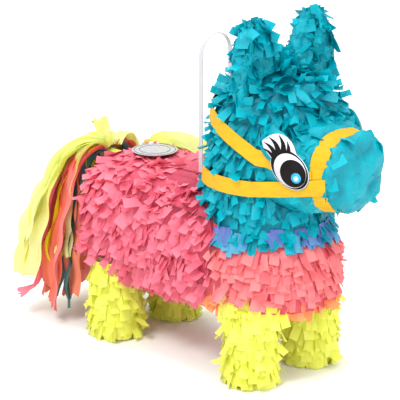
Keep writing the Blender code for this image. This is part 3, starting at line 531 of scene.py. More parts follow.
rng = random.Random(5)
chest_edge = new_paper()
for z in (chest_low.z + 0.012, chest_low.z + 0.022):
    ring(chest_edge, z, CHEST_RADIUS, ["chest_fringe"], rng, inset=0.0072, width=0.0125, length=0.0200,
         lift=0.12, curl=0.12, sway=0.12, twist=0.3, where=lambda p: not over_front_leg(p))
finish_paper("chest_edge_tissue", chest_edge, PEACH, "root")
rng = random.Random(6)
leg_tops = new_paper()
for z in (chest_low.z + 0.006, chest_low.z + 0.015, chest_low.z + 0.024):
    ring(leg_tops, z, CHEST_RADIUS, ["chest_fringe"], rng, inset=0.0050, width=0.0125, length=0.022,
         lift=0.14, curl=0.15, sway=0.15, twist=0.3, where=over_front_leg)
finish_paper("leg_top_tissue", leg_tops, YELLOW, "root")

# %% [markdown]
# The turquoise hem hides two strips of other colours: violet paper shows through under it, and a last
# row of thin blue tabs hangs out over the pink. A material with patches would not lift off the
# surface, so they are rings of tabs too, kept only where a slow noise is high.

# %% Violet and blue under the hem
rng = random.Random(9)
hem_blue = new_paper()
ring(hem_blue, neck_low.z + 0.004, HEM_RADIUS, ["chest_fringe", "neck_fringe"], rng, inset=0.0035,
     length=0.020, lift=0.20, curl=0.1, width=0.0115, where=lambda p: noise.noise(p * 38) > -0.12)
finish_paper("hem_blue_tissue", hem_blue, BLUE, "root")
hem_violet = new_paper()
ring(hem_violet, neck_low.z + 0.009, HEM_RADIUS, ["chest_fringe", "neck_fringe"], rng, inset=0.0030,
     length=0.016, lift=0.20, curl=0.1, width=0.0135,
     where=lambda p: noise.noise(p * 24 + Vector((3, 1, 0))) > 0.16)
finish_paper("hem_violet_tissue", hem_violet, VIOLET, "root")

# %% Neck and head rings
rng = random.Random(12)
neck = new_paper()
add_skin(neck, "neck_fringe", column_out)
z = neck_low.z + 0.0105
while z < head_low.z + 0.002:
    ring(neck, z, NECK_RADIUS, ["neck_fringe"], rng, inset=0.0062, length=0.021, lift=0.24, curl=0.40,
         sway=0.32)
    z += ROW_STEP
pressed = tuck_under(neck, halter_tree, column_out)
pressed += tuck_under(neck, eye_tree, eye_out)
print("points pressed under halter and eyes", pressed)
finish_paper("neck_tissue", neck, TURQUOISE, "root", ["neck_fringe"])

# %% [markdown]
# ## Crown
# The head is closed by a dome, and the strips are bunched on it between the ears. Plain rings would
# shrink to a bald spot at the top. So the rows follow the dome's slope with tabs that stand up more
# and point every way, and a handful of loose tufts fills the top.

# %% Tabs on the dome
rng = random.Random(21)
crown = new_paper()
dome = Vector((HEAD_X, 0, head_low.z))
add_skin(crown, "head_fringe", lambda p: (p - dome).normalized())
DOME_RADIUS = 0.08
for row in range(8):
    tilt = math.radians(4 + 11.5 * row)
    count = max(round(2 * math.pi * DOME_RADIUS * math.cos(tilt) / TAB_PITCH), 4)
    for i in range(count):
        angle = 2 * math.pi * (i + rng.random() * 0.6) / count
        outwards = Vector((math.cos(angle) * math.cos(tilt), math.sin(angle) * math.cos(tilt),
                           math.sin(tilt)))
        hit = outer_hit(dome, outwards, 0.14, ["head_fringe"])
        if hit is None:
            continue
        place, normal = hit
        down = Vector((math.cos(angle), math.sin(angle), -0.9))
        hang_tab(crown, place - normal * 0.006, normal, down, 0.0105 * rng.uniform(0.85, 1.25),
                 0.021 * rng.uniform(0.8, 1.2), rng, lift=0.38, curl=0.5, sway=0.6, twist=0.8)
TUFTS = 46
for i in range(TUFTS):
    above = Vector((HEAD_X + rng.uniform(-0.022, 0.024), rng.uniform(-0.019, 0.019), head_high.z + 0.1))
    place, normal, _, _ = skin_trees["head_fringe"].ray_cast(above, DOWN, 0.3)
    if place is not None:
        lean = Vector((rng.uniform(-0.3, 1), rng.uniform(-0.6, 0.6), 0))
        hang_tab(crown, place - normal * 0.004, normal, lean, 0.0115, 0.024 * rng.uniform(0.8, 1.25), rng,
                 lift=1.15, curl=-0.5, sway=0.8, twist=0.8, header=0.004)
tuck_under(crown, halter_tree, column_out)
finish_paper("crown_tissue", crown, TURQUOISE, "root", ["head_fringe"])

# %% [markdown]
# ## Trunk
# The body is a box with rounded edges. Its strips run from the neck to the rump, one row after another
# from the ridge of the back down each side and under the belly, where the tabs hang. Rows at equal
# angles would crowd on the flat sides, so the section is measured first and the rows are set an equal
# way apart along it. Tabs are short, flat or left out where the loop, the hatch and the tail turn.

# %% Zones of the trunk
trunk_low, trunk_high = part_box("trunk_fringe")
TRUNK_Z = (trunk_low.z + trunk_high.z) / 2
hatch_low, hatch_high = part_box("flap_fringe")
loop_low, loop_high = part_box("hanging_loop")


def over_hatch(point):
    in_length = hatch_low.x < point.x < hatch_high.x
    return in_length and abs(point.y) < hatch_high.y and point.z > hatch_low.z


def loop_zone(point):
    """On and between the loop's feet the tabs are cut short."""
    return abs(point.y) < loop_high.y + 0.008 and -0.034 < point.x - loop_low.x < 0.016


def pressed_zone(point):
    """Where the loop and the tail pass when they swing, the tabs are pressed flat."""
    by_loop = abs(point.y) < loop_high.y + 0.012 and -0.048 < point.x - loop_low.x < 0.016
    by_tail = point.x < trunk_low.x + 0.030 and abs(point.y) < 0.055
    by_hatch = abs(point.y) < hatch_high.y + 0.012 and -0.034 < point.x - hatch_low.x < 0.004
    return point.z > TRUNK_Z and (by_loop or by_tail or by_hatch)


def bare_zone(point):
    """Beside the loop's feet and along the hatch's hinge no tab is glued, so that both can turn."""
    by_loop = abs(abs(point.y) - loop_high.y) < 0.010 and -0.028 < point.x - loop_low.x < 0.014
    by_hinge = abs(point.y) < hatch_high.y + 0.010 and -0.017 < point.x - hatch_low.x < 0.002
    return point.z > TRUNK_Z and (by_loop or by_hinge)


print("hatch", round(hatch_high.x - hatch_low.x, 4), "m long, loop", round(2 * loop_high.y, 4), "m wide")

# %% Heights of the rows
TRUNK_REACH = 0.16
SECTION_STEP = 2


def section_outwards(degrees, side=1):
    angle = math.radians(degrees)
    return Vector((0, side * math.cos(angle), math.sin(angle)))


def trunk_outline(x):
    """Angles and points round the trunk's section, from the ridge of the back to the keel."""
    line = []
    for degrees in range(90, -91, -SECTION_STEP):
        hit = outer_hit(Vector((x, 0, TRUNK_Z)), section_outwards(degrees), TRUNK_REACH,
                        ["trunk_fringe"], others=False)
        if hit:
            line.append((degrees, hit[0]))
    return line


outline = trunk_outline(0.0)
row_angles, next_row, gone = [], 0.004, 0.0
for (degrees, here), (_, there) in zip(outline, outline[1:]):
    gone += (there - here).length
    if gone >= next_row:
        row_angles.append(degrees)
        next_row += ROW_STEP
print("rows down each side of the trunk", len(row_angles))

# %% Rows along the trunk
rng = random.Random(33)
trunk = new_paper()


def trunk_out(point):
    back_end = point.x < trunk_low.x + 0.02
    return Vector((-0.3 if back_end else 0, point.y, point.z - TRUNK_Z)).normalized()


add_skin(trunk, "trunk_fringe", trunk_out)
for side in (-1, 1):
    for degrees in row_angles:
        x = trunk_low.x + 0.012 + rng.random() * TAB_PITCH
        while x < trunk_high.x:
            hit = outer_hit(Vector((x, 0, TRUNK_Z)), section_outwards(degrees, side), TRUNK_REACH,
                            ["trunk_fringe"])
            if hit and not over_hatch(hit[0]) and not bare_zone(hit[0]):
                place, normal = hit
                flat = max(normal.z, 0.0)
                under = max(-normal.z, 0.0)
                down = Vector((-0.15, side * (0.5 + 0.5 * flat), -1.0 + 0.9 * flat))
                still = 0.25 if pressed_zone(place) else 1.0
                size = 0.42 if still < 1.0 and loop_zone(place) else 1.0
                hang_tab(trunk, place - normal * 0.006, normal, down, 0.0112 * rng.uniform(0.85, 1.25),
                         0.023 * size * rng.uniform(0.8, 1.15), rng,
                         lift=(0.17 + 0.5 * under - 0.07 * flat) * still,
                         curl=(0.30 - 0.22 * flat) * still, sway=0.30 + 0.4 * flat, twist=0.6 * still,
                         fold=0.45 * (still == 1.0))
            x += TAB_PITCH * rng.uniform(0.9, 1.1)

# %% Rows across the rump
RUMP_HALF = 0.086
ROOT_HEIGHT, ROOT_RADIUS = 0.22, 0.014
z = trunk_high.z - 0.006
while z > trunk_low.z:
    y = -RUMP_HALF + rng.random() * TAB_PITCH
    while y < RUMP_HALF:
        start = Vector((trunk_low.x - 0.05, y, z))
        place, normal, _, _ = skin_trees["trunk_fringe"].ray_cast(start, Vector((1, 0, 0)), 0.12)
        near_root = Vector((y, z - ROOT_HEIGHT)).length < ROOT_RADIUS
        if place is not None and normal.x < -0.45 and not near_root:
            hang_tab(trunk, place - normal * 0.006, normal, Vector((0, 0.2 * math.copysign(1, y), -1)),
                     0.0112 * rng.uniform(0.85, 1.25), 0.022 * rng.uniform(0.8, 1.15), rng, lift=0.12,
                     curl=0.16, sway=0.3, twist=0.5, fold=0.3)
        y += TAB_PITCH * rng.uniform(0.9, 1.1)
    z -= ROW_STEP
finish_paper("trunk_tissue", trunk, PINK, "root", ["trunk_fringe"])

# %% [markdown]
# ## Legs
# Each leg is a short card tube, wound with neon yellow strips. The column's rings can't be used as they
# are, because their tabs would go through the floor: here the lowest rows are cut to end at it. Here
# and there a tab sticks out sideways, as if a hand had brushed it.

# %% Rings on the legs
LEG_TABS = 24
SOLE = 0.001


def leg_rows(name, seed):
    low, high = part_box("leg_fringe_" + name)
    middle = Vector(((low.x + high.x) / 2, (low.y + high.y) / 2, 0))
    rng = random.Random(seed)
    bm = new_paper()
    add_skin(bm, "leg_fringe_" + name,
             lambda p: Vector((p.x - middle.x, p.y - middle.y, 0)).normalized())
    z = 0.021
    while z < high.z + 0.006:
        for i in range(LEG_TABS):
            angle = 2 * math.pi * (i + rng.random() * 0.5) / LEG_TABS
            outwards = Vector((math.cos(angle), math.sin(angle), 0))
            level = min(z + rng.gauss(0, 0.0015), high.z - 0.001)
            hit = outer_hit(middle + Vector((0, 0, level)), outwards, 0.05, ["leg_fringe_" + name])
            if hit is None:
                continue
            length = min(0.022 * rng.uniform(0.8, 1.15), (level - SOLE) / 0.97)
            kick = 0.9 if rng.random() < 0.035 and z > 0.03 else 0.0
            hang_tab(bm, hit[0] - outwards * 0.0050, outwards, DOWN, 0.0122 * rng.uniform(0.85, 1.2),
                     length, rng, lift=0.14 + kick, curl=0.20 if z > 0.03 else -0.10, sway=0.20,
                     twist=0.4)
        z += ROW_STEP
    for v in bm.verts:
        v.co.z = max(v.co.z, 0.0006)
    finish_paper("leg_tissue_" + name, bm, YELLOW, "root", ["leg_fringe_" + name])


for order, name in enumerate(("front_left", "front_right", "rear_left", "rear_right")):
    leg_rows(name, 50 + order)

# %% [markdown]
# ## Crumpled paper
# The muzzle and the ears are wrapped in whole sheets, pressed on by hand. Cloth could be simulated
# round them, but crumpled paper is made of flat facets with sharp creases. So a round mesh of
# triangles is laid on the card shape and each of its corners moved a little in or out. A second,
# finer round gives small facets within the large.

# %% Crumpling a closed mesh
SHELL_REACH = 0.2


def crumpled_shell(tree, middle, seed, facets=4, lift=0.0012, coarse=0.0034, fine=0.0010, grain=0.30):
    """A closed mesh of creased facets laid on a tree's outside, as seen from a middle point. coarse
    is how far apart the facets' heights are, fine the same within them, and grain their width. Sunken
    facets get a deeper tone, as painted shade in the creases."""
    rng = random.Random(seed)
    bm = new_paper()
    bmesh.ops.create_icosphere(bm, subdivisions=facets, radius=1.0)
    shade, along = bm.verts.layers.float["shade"], bm.verts.layers.float["along"]
    inside = []
    for v in bm.verts:
        jitter = Vector([rng.gauss(0, 1) for _ in range(3)])
        direction = (v.co.normalized() + 0.035 * jitter).normalized()
        place = tree.ray_cast(middle + direction * SHELL_REACH, -direction, SHELL_REACH)[0]
        depth = max(min(1.7 * noise.noise(direction / grain), 0.7), -0.55) + rng.uniform(-0.25, 0.3)
        # Painted shade: the lower a corner sinks, the deeper its tone, so the creases are darkened in
        # colour.
        v[shade] = 0.50 + 0.42 * depth
        if place is not None:
            v.co = place + direction * (lift + depth * coarse * 0.5)
        else:
            inside.append(v)
    for v in inside:
        near = [e.other_vert(v).co for e in v.link_edges if e.other_vert(v) not in inside]
        v.co = sum(near, Vector()) / len(near) if near else middle.copy()
    first = len(bm.verts)
    bmesh.ops.subdivide_edges(bm, edges=bm.edges[:], cuts=1, use_grid_fill=True)
    bm.verts.ensure_lookup_table()
    for v in bm.verts[first:]:
        v.co += (v.co - middle).normalized() * rng.uniform(-fine, fine)
    for v in bm.verts:
        v[shade] = min(max(v[shade] + 0.45 * noise.noise(v.co * 55), 0), 1)
        v[along] = 0.3
    bmesh.ops.recalc_face_normals(bm, faces=bm.faces)
    return bm


def keep_facets(obj):
    obj.data.shade_flat()
    return obj


print("shells are cast from", SHELL_REACH, "m outside")

# %% Muzzle
noise.seed_set(5)
muzzle_middle = (muzzle_low + muzzle_high) / 2
muzzle_middle = Vector((muzzle_middle.x + 0.012, 0, muzzle_middle.z))
muzzle = crumpled_shell(skin_trees["muzzle_wrap"], muzzle_middle, 3, lift=0.0034, coarse=0.0084,
                        fine=0.0003, grain=0.42)
band_low, band_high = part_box("halter_nose_band")


def from_muzzle(point):
    return Vector((0, point.y, point.z - muzzle_middle.z)).normalized()


tuck_under(muzzle, halter_tree, from_muzzle, under=0.0016)
keep_facets(finish_paper("muzzle_paper", muzzle, PRESSED, "root", ["muzzle_wrap"]))

# %% [markdown]
# ## Face
# The brow is a pad of crumpled paper that fills the corner between head and muzzle. It has no card
# shape of its own, so an egg is made to cast its shell from. Between the brow and the nose band the
# tabs are pressed nearly flat, larger and at all angles, like torn scales, and under the muzzle a
# ragged edge of the wrap hangs free. Rings would look too orderly here, so the scales are strewn.

# %% Brow
BROW_HALF = Vector((0.040, 0.061, 0.031))
brow_egg = bmesh.new()
bmesh.ops.create_icosphere(brow_egg, subdivisions=3, radius=1.0)
brow_middle = Vector((head_high.x - 0.040, 0, muzzle_high.z - 0.016))
for v in brow_egg.verts:
    v.co = brow_middle + v.co * BROW_HALF
brow_tree = BVHTree.FromBMesh(brow_egg)
brow_egg.free()
brow = crumpled_shell(brow_tree, brow_middle, 14, facets=3, lift=0.0, coarse=0.0040)
keep_facets(finish_paper("brow_paper", brow, PRESSED, "root"))

# %% Flat scales on the brow
rng = random.Random(71)
scales = new_paper()
BROW_SCALES = 120
for i in range(BROW_SCALES):
    turn, rise = rng.uniform(-1.5, 1.5), rng.uniform(0.1, 1.3)
    outwards = Vector((math.cos(turn) * math.cos(rise), math.sin(turn) * math.cos(rise),
                       math.sin(rise)))
    place, normal, _, _ = brow_tree.ray_cast(brow_middle + outwards * SHELL_REACH, -outwards,
                                             SHELL_REACH)
    if place is not None:
        hang_tab(scales, place + normal * 0.0010, normal, Vector((0.5, outwards.y, -0.8)),
                 0.015 * rng.uniform(0.8, 1.3), 0.019 * rng.uniform(0.8, 1.2), rng, lift=0.13, curl=0.25,
                 sway=0.8, twist=0.3, header=0.004, fold=0.4)
print("brow scales tried", BROW_SCALES)

# %% Scales round the muzzle and the loose edge below it
MUZZLE_TABS = 30
MUZZLE_REACH = 0.1
EDGE_TABS = 34
x = muzzle_low.x + 0.012
while x < muzzle_high.x - 0.004:
    for i in range(MUZZLE_TABS):
        angle = 2 * math.pi * (i + rng.random() * 0.8) / MUZZLE_TABS
        outwards = Vector((0, math.cos(angle), math.sin(angle)))
        middle = Vector((x, 0, muzzle_middle.z))
        hit = outer_hit(middle, outwards, MUZZLE_REACH, ["muzzle_wrap"])
        on_top = math.sin(angle) > 0.15 and x < band_low.x - 0.008
        in_front = x > band_high.x - 0.002 and rng.random() < 0.80
        if hit is None or not (on_top or in_front or rng.random() < 0.12 and x < band_low.x):
            continue
        place, normal = hit
        hang_tab(scales, place + normal * 0.0002, normal, Vector((-0.3, outwards.y, -0.8)),
                 0.016 * rng.uniform(0.8, 1.3), 0.018 * rng.uniform(0.8, 1.2), rng, lift=0.10, curl=0.16,
                 sway=0.9, twist=0.25, header=0.003)
    x += 0.011
for i in range(EDGE_TABS):
    angle = math.radians(-90 + rng.uniform(-75, 75))
    outwards = Vector((0, math.cos(angle), math.sin(angle)))
    middle = Vector((muzzle_high.x - 0.016 - rng.random() * 0.012, 0, muzzle_middle.z))
    hit = outer_hit(middle, outwards, MUZZLE_REACH, ["muzzle_wrap"])
    if hit:
        hang_tab(scales, hit[0], hit[1], Vector((0.2, 0, -1)), 0.013, 0.014, rng, lift=0.45, curl=0.3,
                 sway=0.6, header=0.004)
tuck_under(scales, halter_tree, from_muzzle)
tuck_under(scales, eye_tree, eye_out)
finish_paper("face_tissue", scales, TURQUOISE, "root")

# %% [markdown]
# ## Ears
# Each ear is a rolled card covered with paper, hollow in front, with a ragged edge. A bent plane would
# give the roll but no thickness. The crumpled shell of the card shape already has it, so its inner
# side is drawn towards the ear's middle and its front pushed in, and tabs go round it in short rows
# and over its rim.

# %% Crumpled skin of an ear
def ear_shell(label, seed):
    low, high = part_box("ear_fringe_" + label)
    middle = (low + high) / 2
    bm = crumpled_shell(skin_trees["ear_fringe_" + label], middle, seed)
    half_width, half_height = (high.y - low.y) / 2, (high.z - low.z) / 2
    for v in bm.verts:
        across = (v.co.y - middle.y) / half_width
        up = (v.co.z - middle.z) / half_height
        if across * middle.y < 0:
            v.co.y -= math.copysign(0.0075, middle.y) * abs(across) * min(1.0, 1.3 - abs(up - 0.2))
        if v.co.x > middle.x + 0.004:
            hollow = max(1 - across ** 2 * 1.6, 0) * max(1 - max(up + 0.05, 0) ** 2 * 1.6, 0)
            v.co.x = max(v.co.x - 0.010 * hollow, middle.x + 0.003)
    keep_facets(finish_paper("ear_paper_" + label, bm, PRESSED, "root",
                             ["ear_fringe_" + label]))


ear_shell("left", 81)
ear_shell("right", 82)

# %% Tabs round an ear
EAR_ROWS = 10
EAR_TABS = 16


def ear_rows(edge, label, rng):
    low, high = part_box("ear_fringe_" + label)
    middle = (low + high) / 2
    for row in range(EAR_ROWS):
        z = low.z + 0.014 + row * (high.z - low.z - 0.018) / (EAR_ROWS - 1)
        top = row / (EAR_ROWS - 1)
        for i in range(EAR_TABS):
            angle = 2 * math.pi * (i + rng.random() * 0.7) / EAR_TABS
            outwards = Vector((math.cos(angle), math.sin(angle), 0))
            hit = outer_hit(Vector((middle.x, middle.y, z)), outwards, 0.06, ["ear_fringe_" + label],
                            nearest=0.003)
            if hit is None:
                continue
            place, normal = hit
            front = outwards.x > 0.35
            if front and 0.2 < top < 0.75:
                if rng.random() < 0.5:
                    continue
                hang_tab(edge, place - normal * 0.009, normal, DOWN, 0.0115, 0.016, rng, lift=0.35,
                         curl=0.4, sway=0.5, header=0.006)
            elif rng.random() < 0.62:
                hang_tab(edge, place - normal * 0.0015, normal, DOWN, 0.0140 * rng.uniform(0.8, 1.3),
                         0.019 * rng.uniform(0.8, 1.2), rng, lift=0.12, curl=0.22, sway=0.55, twist=0.5,
                         header=0.006, fold=0.4)
            elif rng.random() < 0.4:
                hang_tab(edge, place - normal * 0.002, normal, Vector((0, outwards.y, -0.6)), 0.010, 0.014,
                         rng, lift=0.9, curl=0.3, sway=0.7, header=0.004)


def ear_rim(edge, label, rng):
    low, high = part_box("ear_fringe_" + label)
    middle = (low + high) / 2
    for i in range(9):
        angle = math.radians(20 + 17.5 * i)
        outwards = Vector((0, math.cos(angle), math.sin(angle)))
        for shift in (-0.006, 0.004):
            hit = outer_hit(middle + Vector((shift, 0, 0)), outwards, 0.09, ["ear_fringe_" + label])
            if hit:
                place, normal = hit
                over = Vector((math.copysign(0.9, shift), 0, -0.4))
                hang_tab(edge, place - normal * 0.001, normal, over, 0.0150 * rng.uniform(0.8, 1.25),
                         0.019 * rng.uniform(0.8, 1.2), rng, lift=0.09, curl=0.25, sway=0.4, twist=0.3,
                         header=0.007, fold=0.5)


for label, seed in (("left", 81), ("right", 82)):
    rng = random.Random(seed)
    edge = new_paper()
    ear_rows(edge, label, rng)
    ear_rim(edge, label, rng)
    finish_paper("ear_tissue_" + label, edge, TURQUOISE, "root")

# %% [markdown]
# ## Plain papers, card and plastic
# The halter is coloured paper with a smooth face, the hanging loop milky plastic, and the boards
# inside are brown card. Their shapes in the card model are already right, so only their finish is
# made. A plain colour would look like plastic toys: fibres, faint blotches and small changes of
# gloss, from one noise stretched along the fibres, make paper and board of it.

# %% Materials for the smooth pieces
def fibrous(name, colour, darker, gloss, grain=(60, 60, 600), bumps=0.12, alpha=1.0):
    """Paper, board or print; grain is how fine its fibres are along each direction."""
    material, nodes, links, shader = blank_material(name)
    place = nodes.new("ShaderNodeTexCoord")
    stretch = nodes.new("ShaderNodeMapping")
    stretch.inputs["Scale"].default_value = grain
    links.new(place.outputs["Object"], stretch.inputs["Vector"])
    fibre = cloudy(nodes, links, stretch.outputs[0], 3.0, 5.0)
    links.new(two_tones(nodes, links, fibre, darker, colour, 0.3, 0.62), shader.inputs["Base Color"])
    rough = nodes.new("ShaderNodeMapRange")
    rough.inputs["To Min"].default_value = gloss - 0.08
    rough.inputs["To Max"].default_value = gloss + 0.1
    links.new(fibre, rough.inputs["Value"])
    links.new(rough.outputs[0], shader.inputs["Roughness"])
    roughen(nodes, links, shader, fibre, bumps, 0.001)
    shader.inputs["Alpha"].default_value = alpha
    shader.inputs["Specular IOR Level"].default_value = 0.25
    return material


PRINT_GRAIN = (40, 40, 40)
CARD = fibrous("brown_board", (0.44, 0.31, 0.19), (0.34, 0.23, 0.13), 0.85, (40, 400, 40))
GOLD = fibrous("golden_paper", (0.66, 0.385, 0.008), (0.60, 0.335, 0.005), 0.55, (22, 22, 60), 0.05)
MILKY = fibrous("milky_strap", (0.60, 0.61, 0.63), (0.54, 0.55, 0.57), 0.4, (300, 300, 20), 0.05,
                alpha=0.85)
WHITE = fibrous("white_print", (0.74, 0.72, 0.77), (0.66, 0.64, 0.70), 0.5, PRINT_GRAIN, 0.03)
BLACK = fibrous("black_print", (0.003, 0.0006, 0.001), (0.002, 0.0004, 0.0007), 0.75, PRINT_GRAIN,
                0.03)
IRIS = fibrous("blue_print", (0.03, 0.40, 0.66), (0.02, 0.33, 0.58), 0.32, PRINT_GRAIN, 0.03)
PALE_IRIS = fibrous("pale_blue_print", (0.30, 0.66, 0.86), (0.24, 0.58, 0.80), 0.32, PRINT_GRAIN,
                    0.03)
SILVER = fibrous("silver_label_paper", (0.47, 0.46, 0.47), (0.34, 0.34, 0.35), 0.32, (90, 90, 90),
                 0.12)
print("smooth finishes ready")

# %% Finishes on the card pieces
for name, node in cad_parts.items():
    if node.hide_render:
        continue
    if name.startswith("halter"):
        finish = GOLD
    elif name in ("hanging_loop", "strap_ends", "tail_tie"):
        finish = MILKY
    elif name.startswith("eye"):
        finish = WHITE
    elif name == "flap_label":
        finish = SILVER
    elif name.startswith("tail"):
        finish = LIME
    else:
        finish = CARD
    node.data.materials.clear()
    node.data.materials.append(finish)
print("finishes on", sum(not n.hide_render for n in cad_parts.values()), "card pieces")

# %% [markdown]
# ## Printed eyes
# The eye is a die-cut sticker: black lashes on pale paper, a black oval, a white ring, a large pupil
# low in it and a small blue disc with a white dot. It could be painted with a picture, but shapes stay
# sharp at any distance, so each colour is its own thin layer on the card model's sticker. A patch of
# turquoise tissue behind it holds it on the head.

# %% Outlines on a sticker
EYE_LEAN = math.radians(50)
EYE_HALF = (0.0211, 0.0280)
EYE_FRONT = math.hypot(EYE_HALF[0] * math.cos(EYE_LEAN), EYE_HALF[1] * math.sin(EYE_LEAN))
EYE_DEPTH = math.hypot(EYE_HALF[0] * math.sin(EYE_LEAN), EYE_HALF[1] * math.cos(EYE_LEAN))
PRINT_THICK = 0.00010


def sticker_plane(label):
    """The eye's middle on a sticker's face, and its forward, up and out directions."""
    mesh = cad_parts["eye_sticker_" + label].data
    out = max(mesh.polygons, key=lambda p: p.area).normal.copy()
    if out.y * (-1 if label == "right" else 1) < 0:
        out = -out
    forward = Vector((0, 0, 1)).cross(out).normalized()
    forward = -forward if forward.x < 0 else forward
    up = Vector((0, 0, 1))
    spots = [v.co for v in mesh.vertices]
    front = max(p.dot(forward) for p in spots)
    low = min(p.z for p in spots)
    level = max(p.dot(out) for p in spots)
    return forward * (front - EYE_FRONT) + up * (low + EYE_DEPTH) + out * level, forward, up, out


def only_verts(geometry):
    return [g for g in geometry if isinstance(g, bmesh.types.BMVert)]


def flat_print(bm, plane, outline, level):
    """A thin flat shape of one colour lying on the sticker."""
    origin, forward, up, out = plane
    verts = [bm.verts.new(origin + forward * u + up * v + out * level) for u, v in outline]
    face = bm.faces.new(verts)
    grown = bmesh.ops.extrude_face_region(bm, geom=[face])["geom"]
    bmesh.ops.translate(bm, vec=out * PRINT_THICK, verts=only_verts(grown))


def oval(cu, cv, ru, rv, lean=0.0, points=48):
    """An oval's outline about a centre, its long way leaning back from the vertical."""
    line = []
    for i in range(points):
        turn = 2 * math.pi * i / points
        u, v = ru * math.cos(turn), rv * math.sin(turn)
        line.append((cu + u * math.cos(lean) - v * math.sin(lean),
                     cv + u * math.sin(lean) + v * math.cos(lean)))
    return line


LASH_STEPS = 8


def lash(base, tip, width, bow):
    """A lash as a thorn from its broad base to its point, bowed sideways."""
    (u0, v0), (u1, v1) = base, tip
    du, dv = u1 - u0, v1 - v0
    size = math.hypot(du, dv)
    nu, nv = -dv / size, du / size
    left, right = [], []
    for i in range(LASH_STEPS + 1):
        share = i / LASH_STEPS
        side = bow * size * math.sin(math.pi * share)
        half = width / 2 * (1 - share ** 1.4) + 0.00012
        u, v = u0 + du * share + nu * side, v0 + dv * share + nv * side
        left.append((u + nu * half, v + nv * half))
        right.append((u - nu * half, v - nv * half))
    return left + right[::-1]


print("an eye is", 2 * EYE_HALF[0], "by", 2 * EYE_HALF[1], "m")

# %% Backing patches and prints
LASHES = [((-0.0205, 0.0110), (-0.0372, 0.0225), 0.0050, -0.10),
          ((-0.0185, 0.0150), (-0.0352, 0.0300), 0.0068, -0.12),
          ((-0.0145, 0.0180), (-0.0285, 0.0372), 0.0080, -0.14),
          ((-0.0085, 0.0190), (-0.0150, 0.0418), 0.0080, -0.12),
          ((-0.0020, 0.0190), (-0.0035, 0.0350), 0.0062, -0.08)]
PRINTS = [
    ("black", BLACK, [oval(0, 0, 0.0206, 0.0275, EYE_LEAN)] + [lash(*shape) for shape in LASHES]),
    ("white", WHITE, [oval(0.0008, -0.0012, 0.0194, 0.0228, EYE_LEAN)]),
    ("pupil", BLACK, [oval(0.0048, -0.0042, 0.0166, 0.0176, EYE_LEAN)]),
    ("iris", IRIS, [oval(0.0090, -0.0094, 0.0066, 0.0064)]),
    ("gleam", PALE_IRIS, [oval(0.0089, -0.0102, 0.0036, 0.0036, points=28)]),
    ("glint", WHITE, [oval(0.0088, -0.0106, 0.0018, 0.0018, points=20)]),
]
BACKINGS = [oval(0, 0, 0.0217, 0.0286, EYE_LEAN), oval(-0.019, 0.026, 0.0205, 0.0225, EYE_LEAN)]
LAYER_STEP, SHAPE_STEP, FIRST_LAYER = 0.00012, 0.00001, 0.00004
BACKING_GAP, BACKING_STEP, BACKING_SHADE = 0.0004, 0.0002, 0.9
for label in ("right", "left"):
    plane = sticker_plane(label)
    spots = [v.co.dot(plane[3]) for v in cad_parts["eye_sticker_" + label].data.vertices]
    behind = min(spots) - max(spots) - BACKING_GAP
    backing = new_paper()
    for i, shape in enumerate(BACKINGS):
        flat_print(backing, plane, shape, behind - BACKING_STEP * i)
    for v in backing.verts:
        v[backing.verts.layers.float["shade"]] = BACKING_SHADE
    bmesh.ops.recalc_face_normals(backing, faces=backing.faces)
    finish_paper("eye_backing_" + label, backing, PRESSED, "root")
    for level, (kind, paint, shapes) in enumerate(PRINTS):
        bm = bmesh.new()
        for i, shape in enumerate(shapes):
            flat_print(bm, plane, shape, FIRST_LAYER + LAYER_STEP * level + SHAPE_STEP * i)
        bmesh.ops.recalc_face_normals(bm, faces=bm.faces)
        finish_paper(f"eye_{kind}_{label}", bm, paint, "root")

# %% [markdown]
# ## Filling hatch
# The sweets go in through a flap in the back. It carries the same pink tabs as the back, so that it
# hardly shows when it is closed. They could belong to the trunk's rows, but then they would stay
# behind when the flap opens, so they are a piece of their own that rides on the hatch.

# %% Hatch tabs
rng = random.Random(91)
hatch = new_paper()
y = hatch_low.y + 0.004
while y < hatch_high.y:
    x = hatch_low.x + 0.004
    while x < hatch_high.x - 0.004:
        hit = outer_hit(Vector((x, y, TRUNK_Z)), -DOWN, 0.12, ["flap_fringe"], others=False)
        if hit:
            place, normal = hit
            hang_tab(hatch, place - normal * 0.005, normal, Vector((-0.1, math.copysign(1, y), 0)),
                     0.011, 0.014, rng, lift=0.16, curl=0.2, sway=0.4, header=0.005)
        x += TAB_PITCH
    y += 0.009
label_tree = tree_of("flap_label")
tuck_under(hatch, label_tree, lambda p: -DOWN, under=0.0014)
finish_paper("hatch_tissue", hatch, PINK, "hatch", ["flap_fringe"])

# %% [markdown]
# ## Label
# A round paper label is stuck over the hatch. Its print is left plain: two thin black rings. They could
# be a pattern in the label's material, but as raised circles they stay round and sharp.

# %% Label rings
RING_RADII = (0.0275, 0.0205)
RING_LINE, RING_THICK, RING_GAP = 0.0006, 0.00015, 0.00005
label_low, label_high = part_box("flap_label")
label_ring = bmesh.new()
for radius in RING_RADII:
    circle = bmesh.ops.create_circle(label_ring, segments=64, radius=radius, cap_ends=False)["verts"]
    edges = list({e for v in circle for e in v.link_edges})
    inner = only_verts(bmesh.ops.extrude_edge_only(label_ring, edges=edges)["geom"])
    bmesh.ops.scale(label_ring, vec=((radius - RING_LINE) / radius,) * 2 + (1,), verts=inner)
raised = only_verts(bmesh.ops.extrude_face_region(label_ring, geom=label_ring.faces[:])["geom"])
bmesh.ops.translate(label_ring, vec=(0, 0, RING_THICK), verts=raised)
bmesh.ops.translate(label_ring, vec=((label_low.x + label_high.x) / 2, 0, label_high.z + RING_GAP),
                    verts=label_ring.verts)
bmesh.ops.recalc_face_normals(label_ring, faces=label_ring.faces)
finish_paper("label_rings", label_ring, BLACK, "hatch")

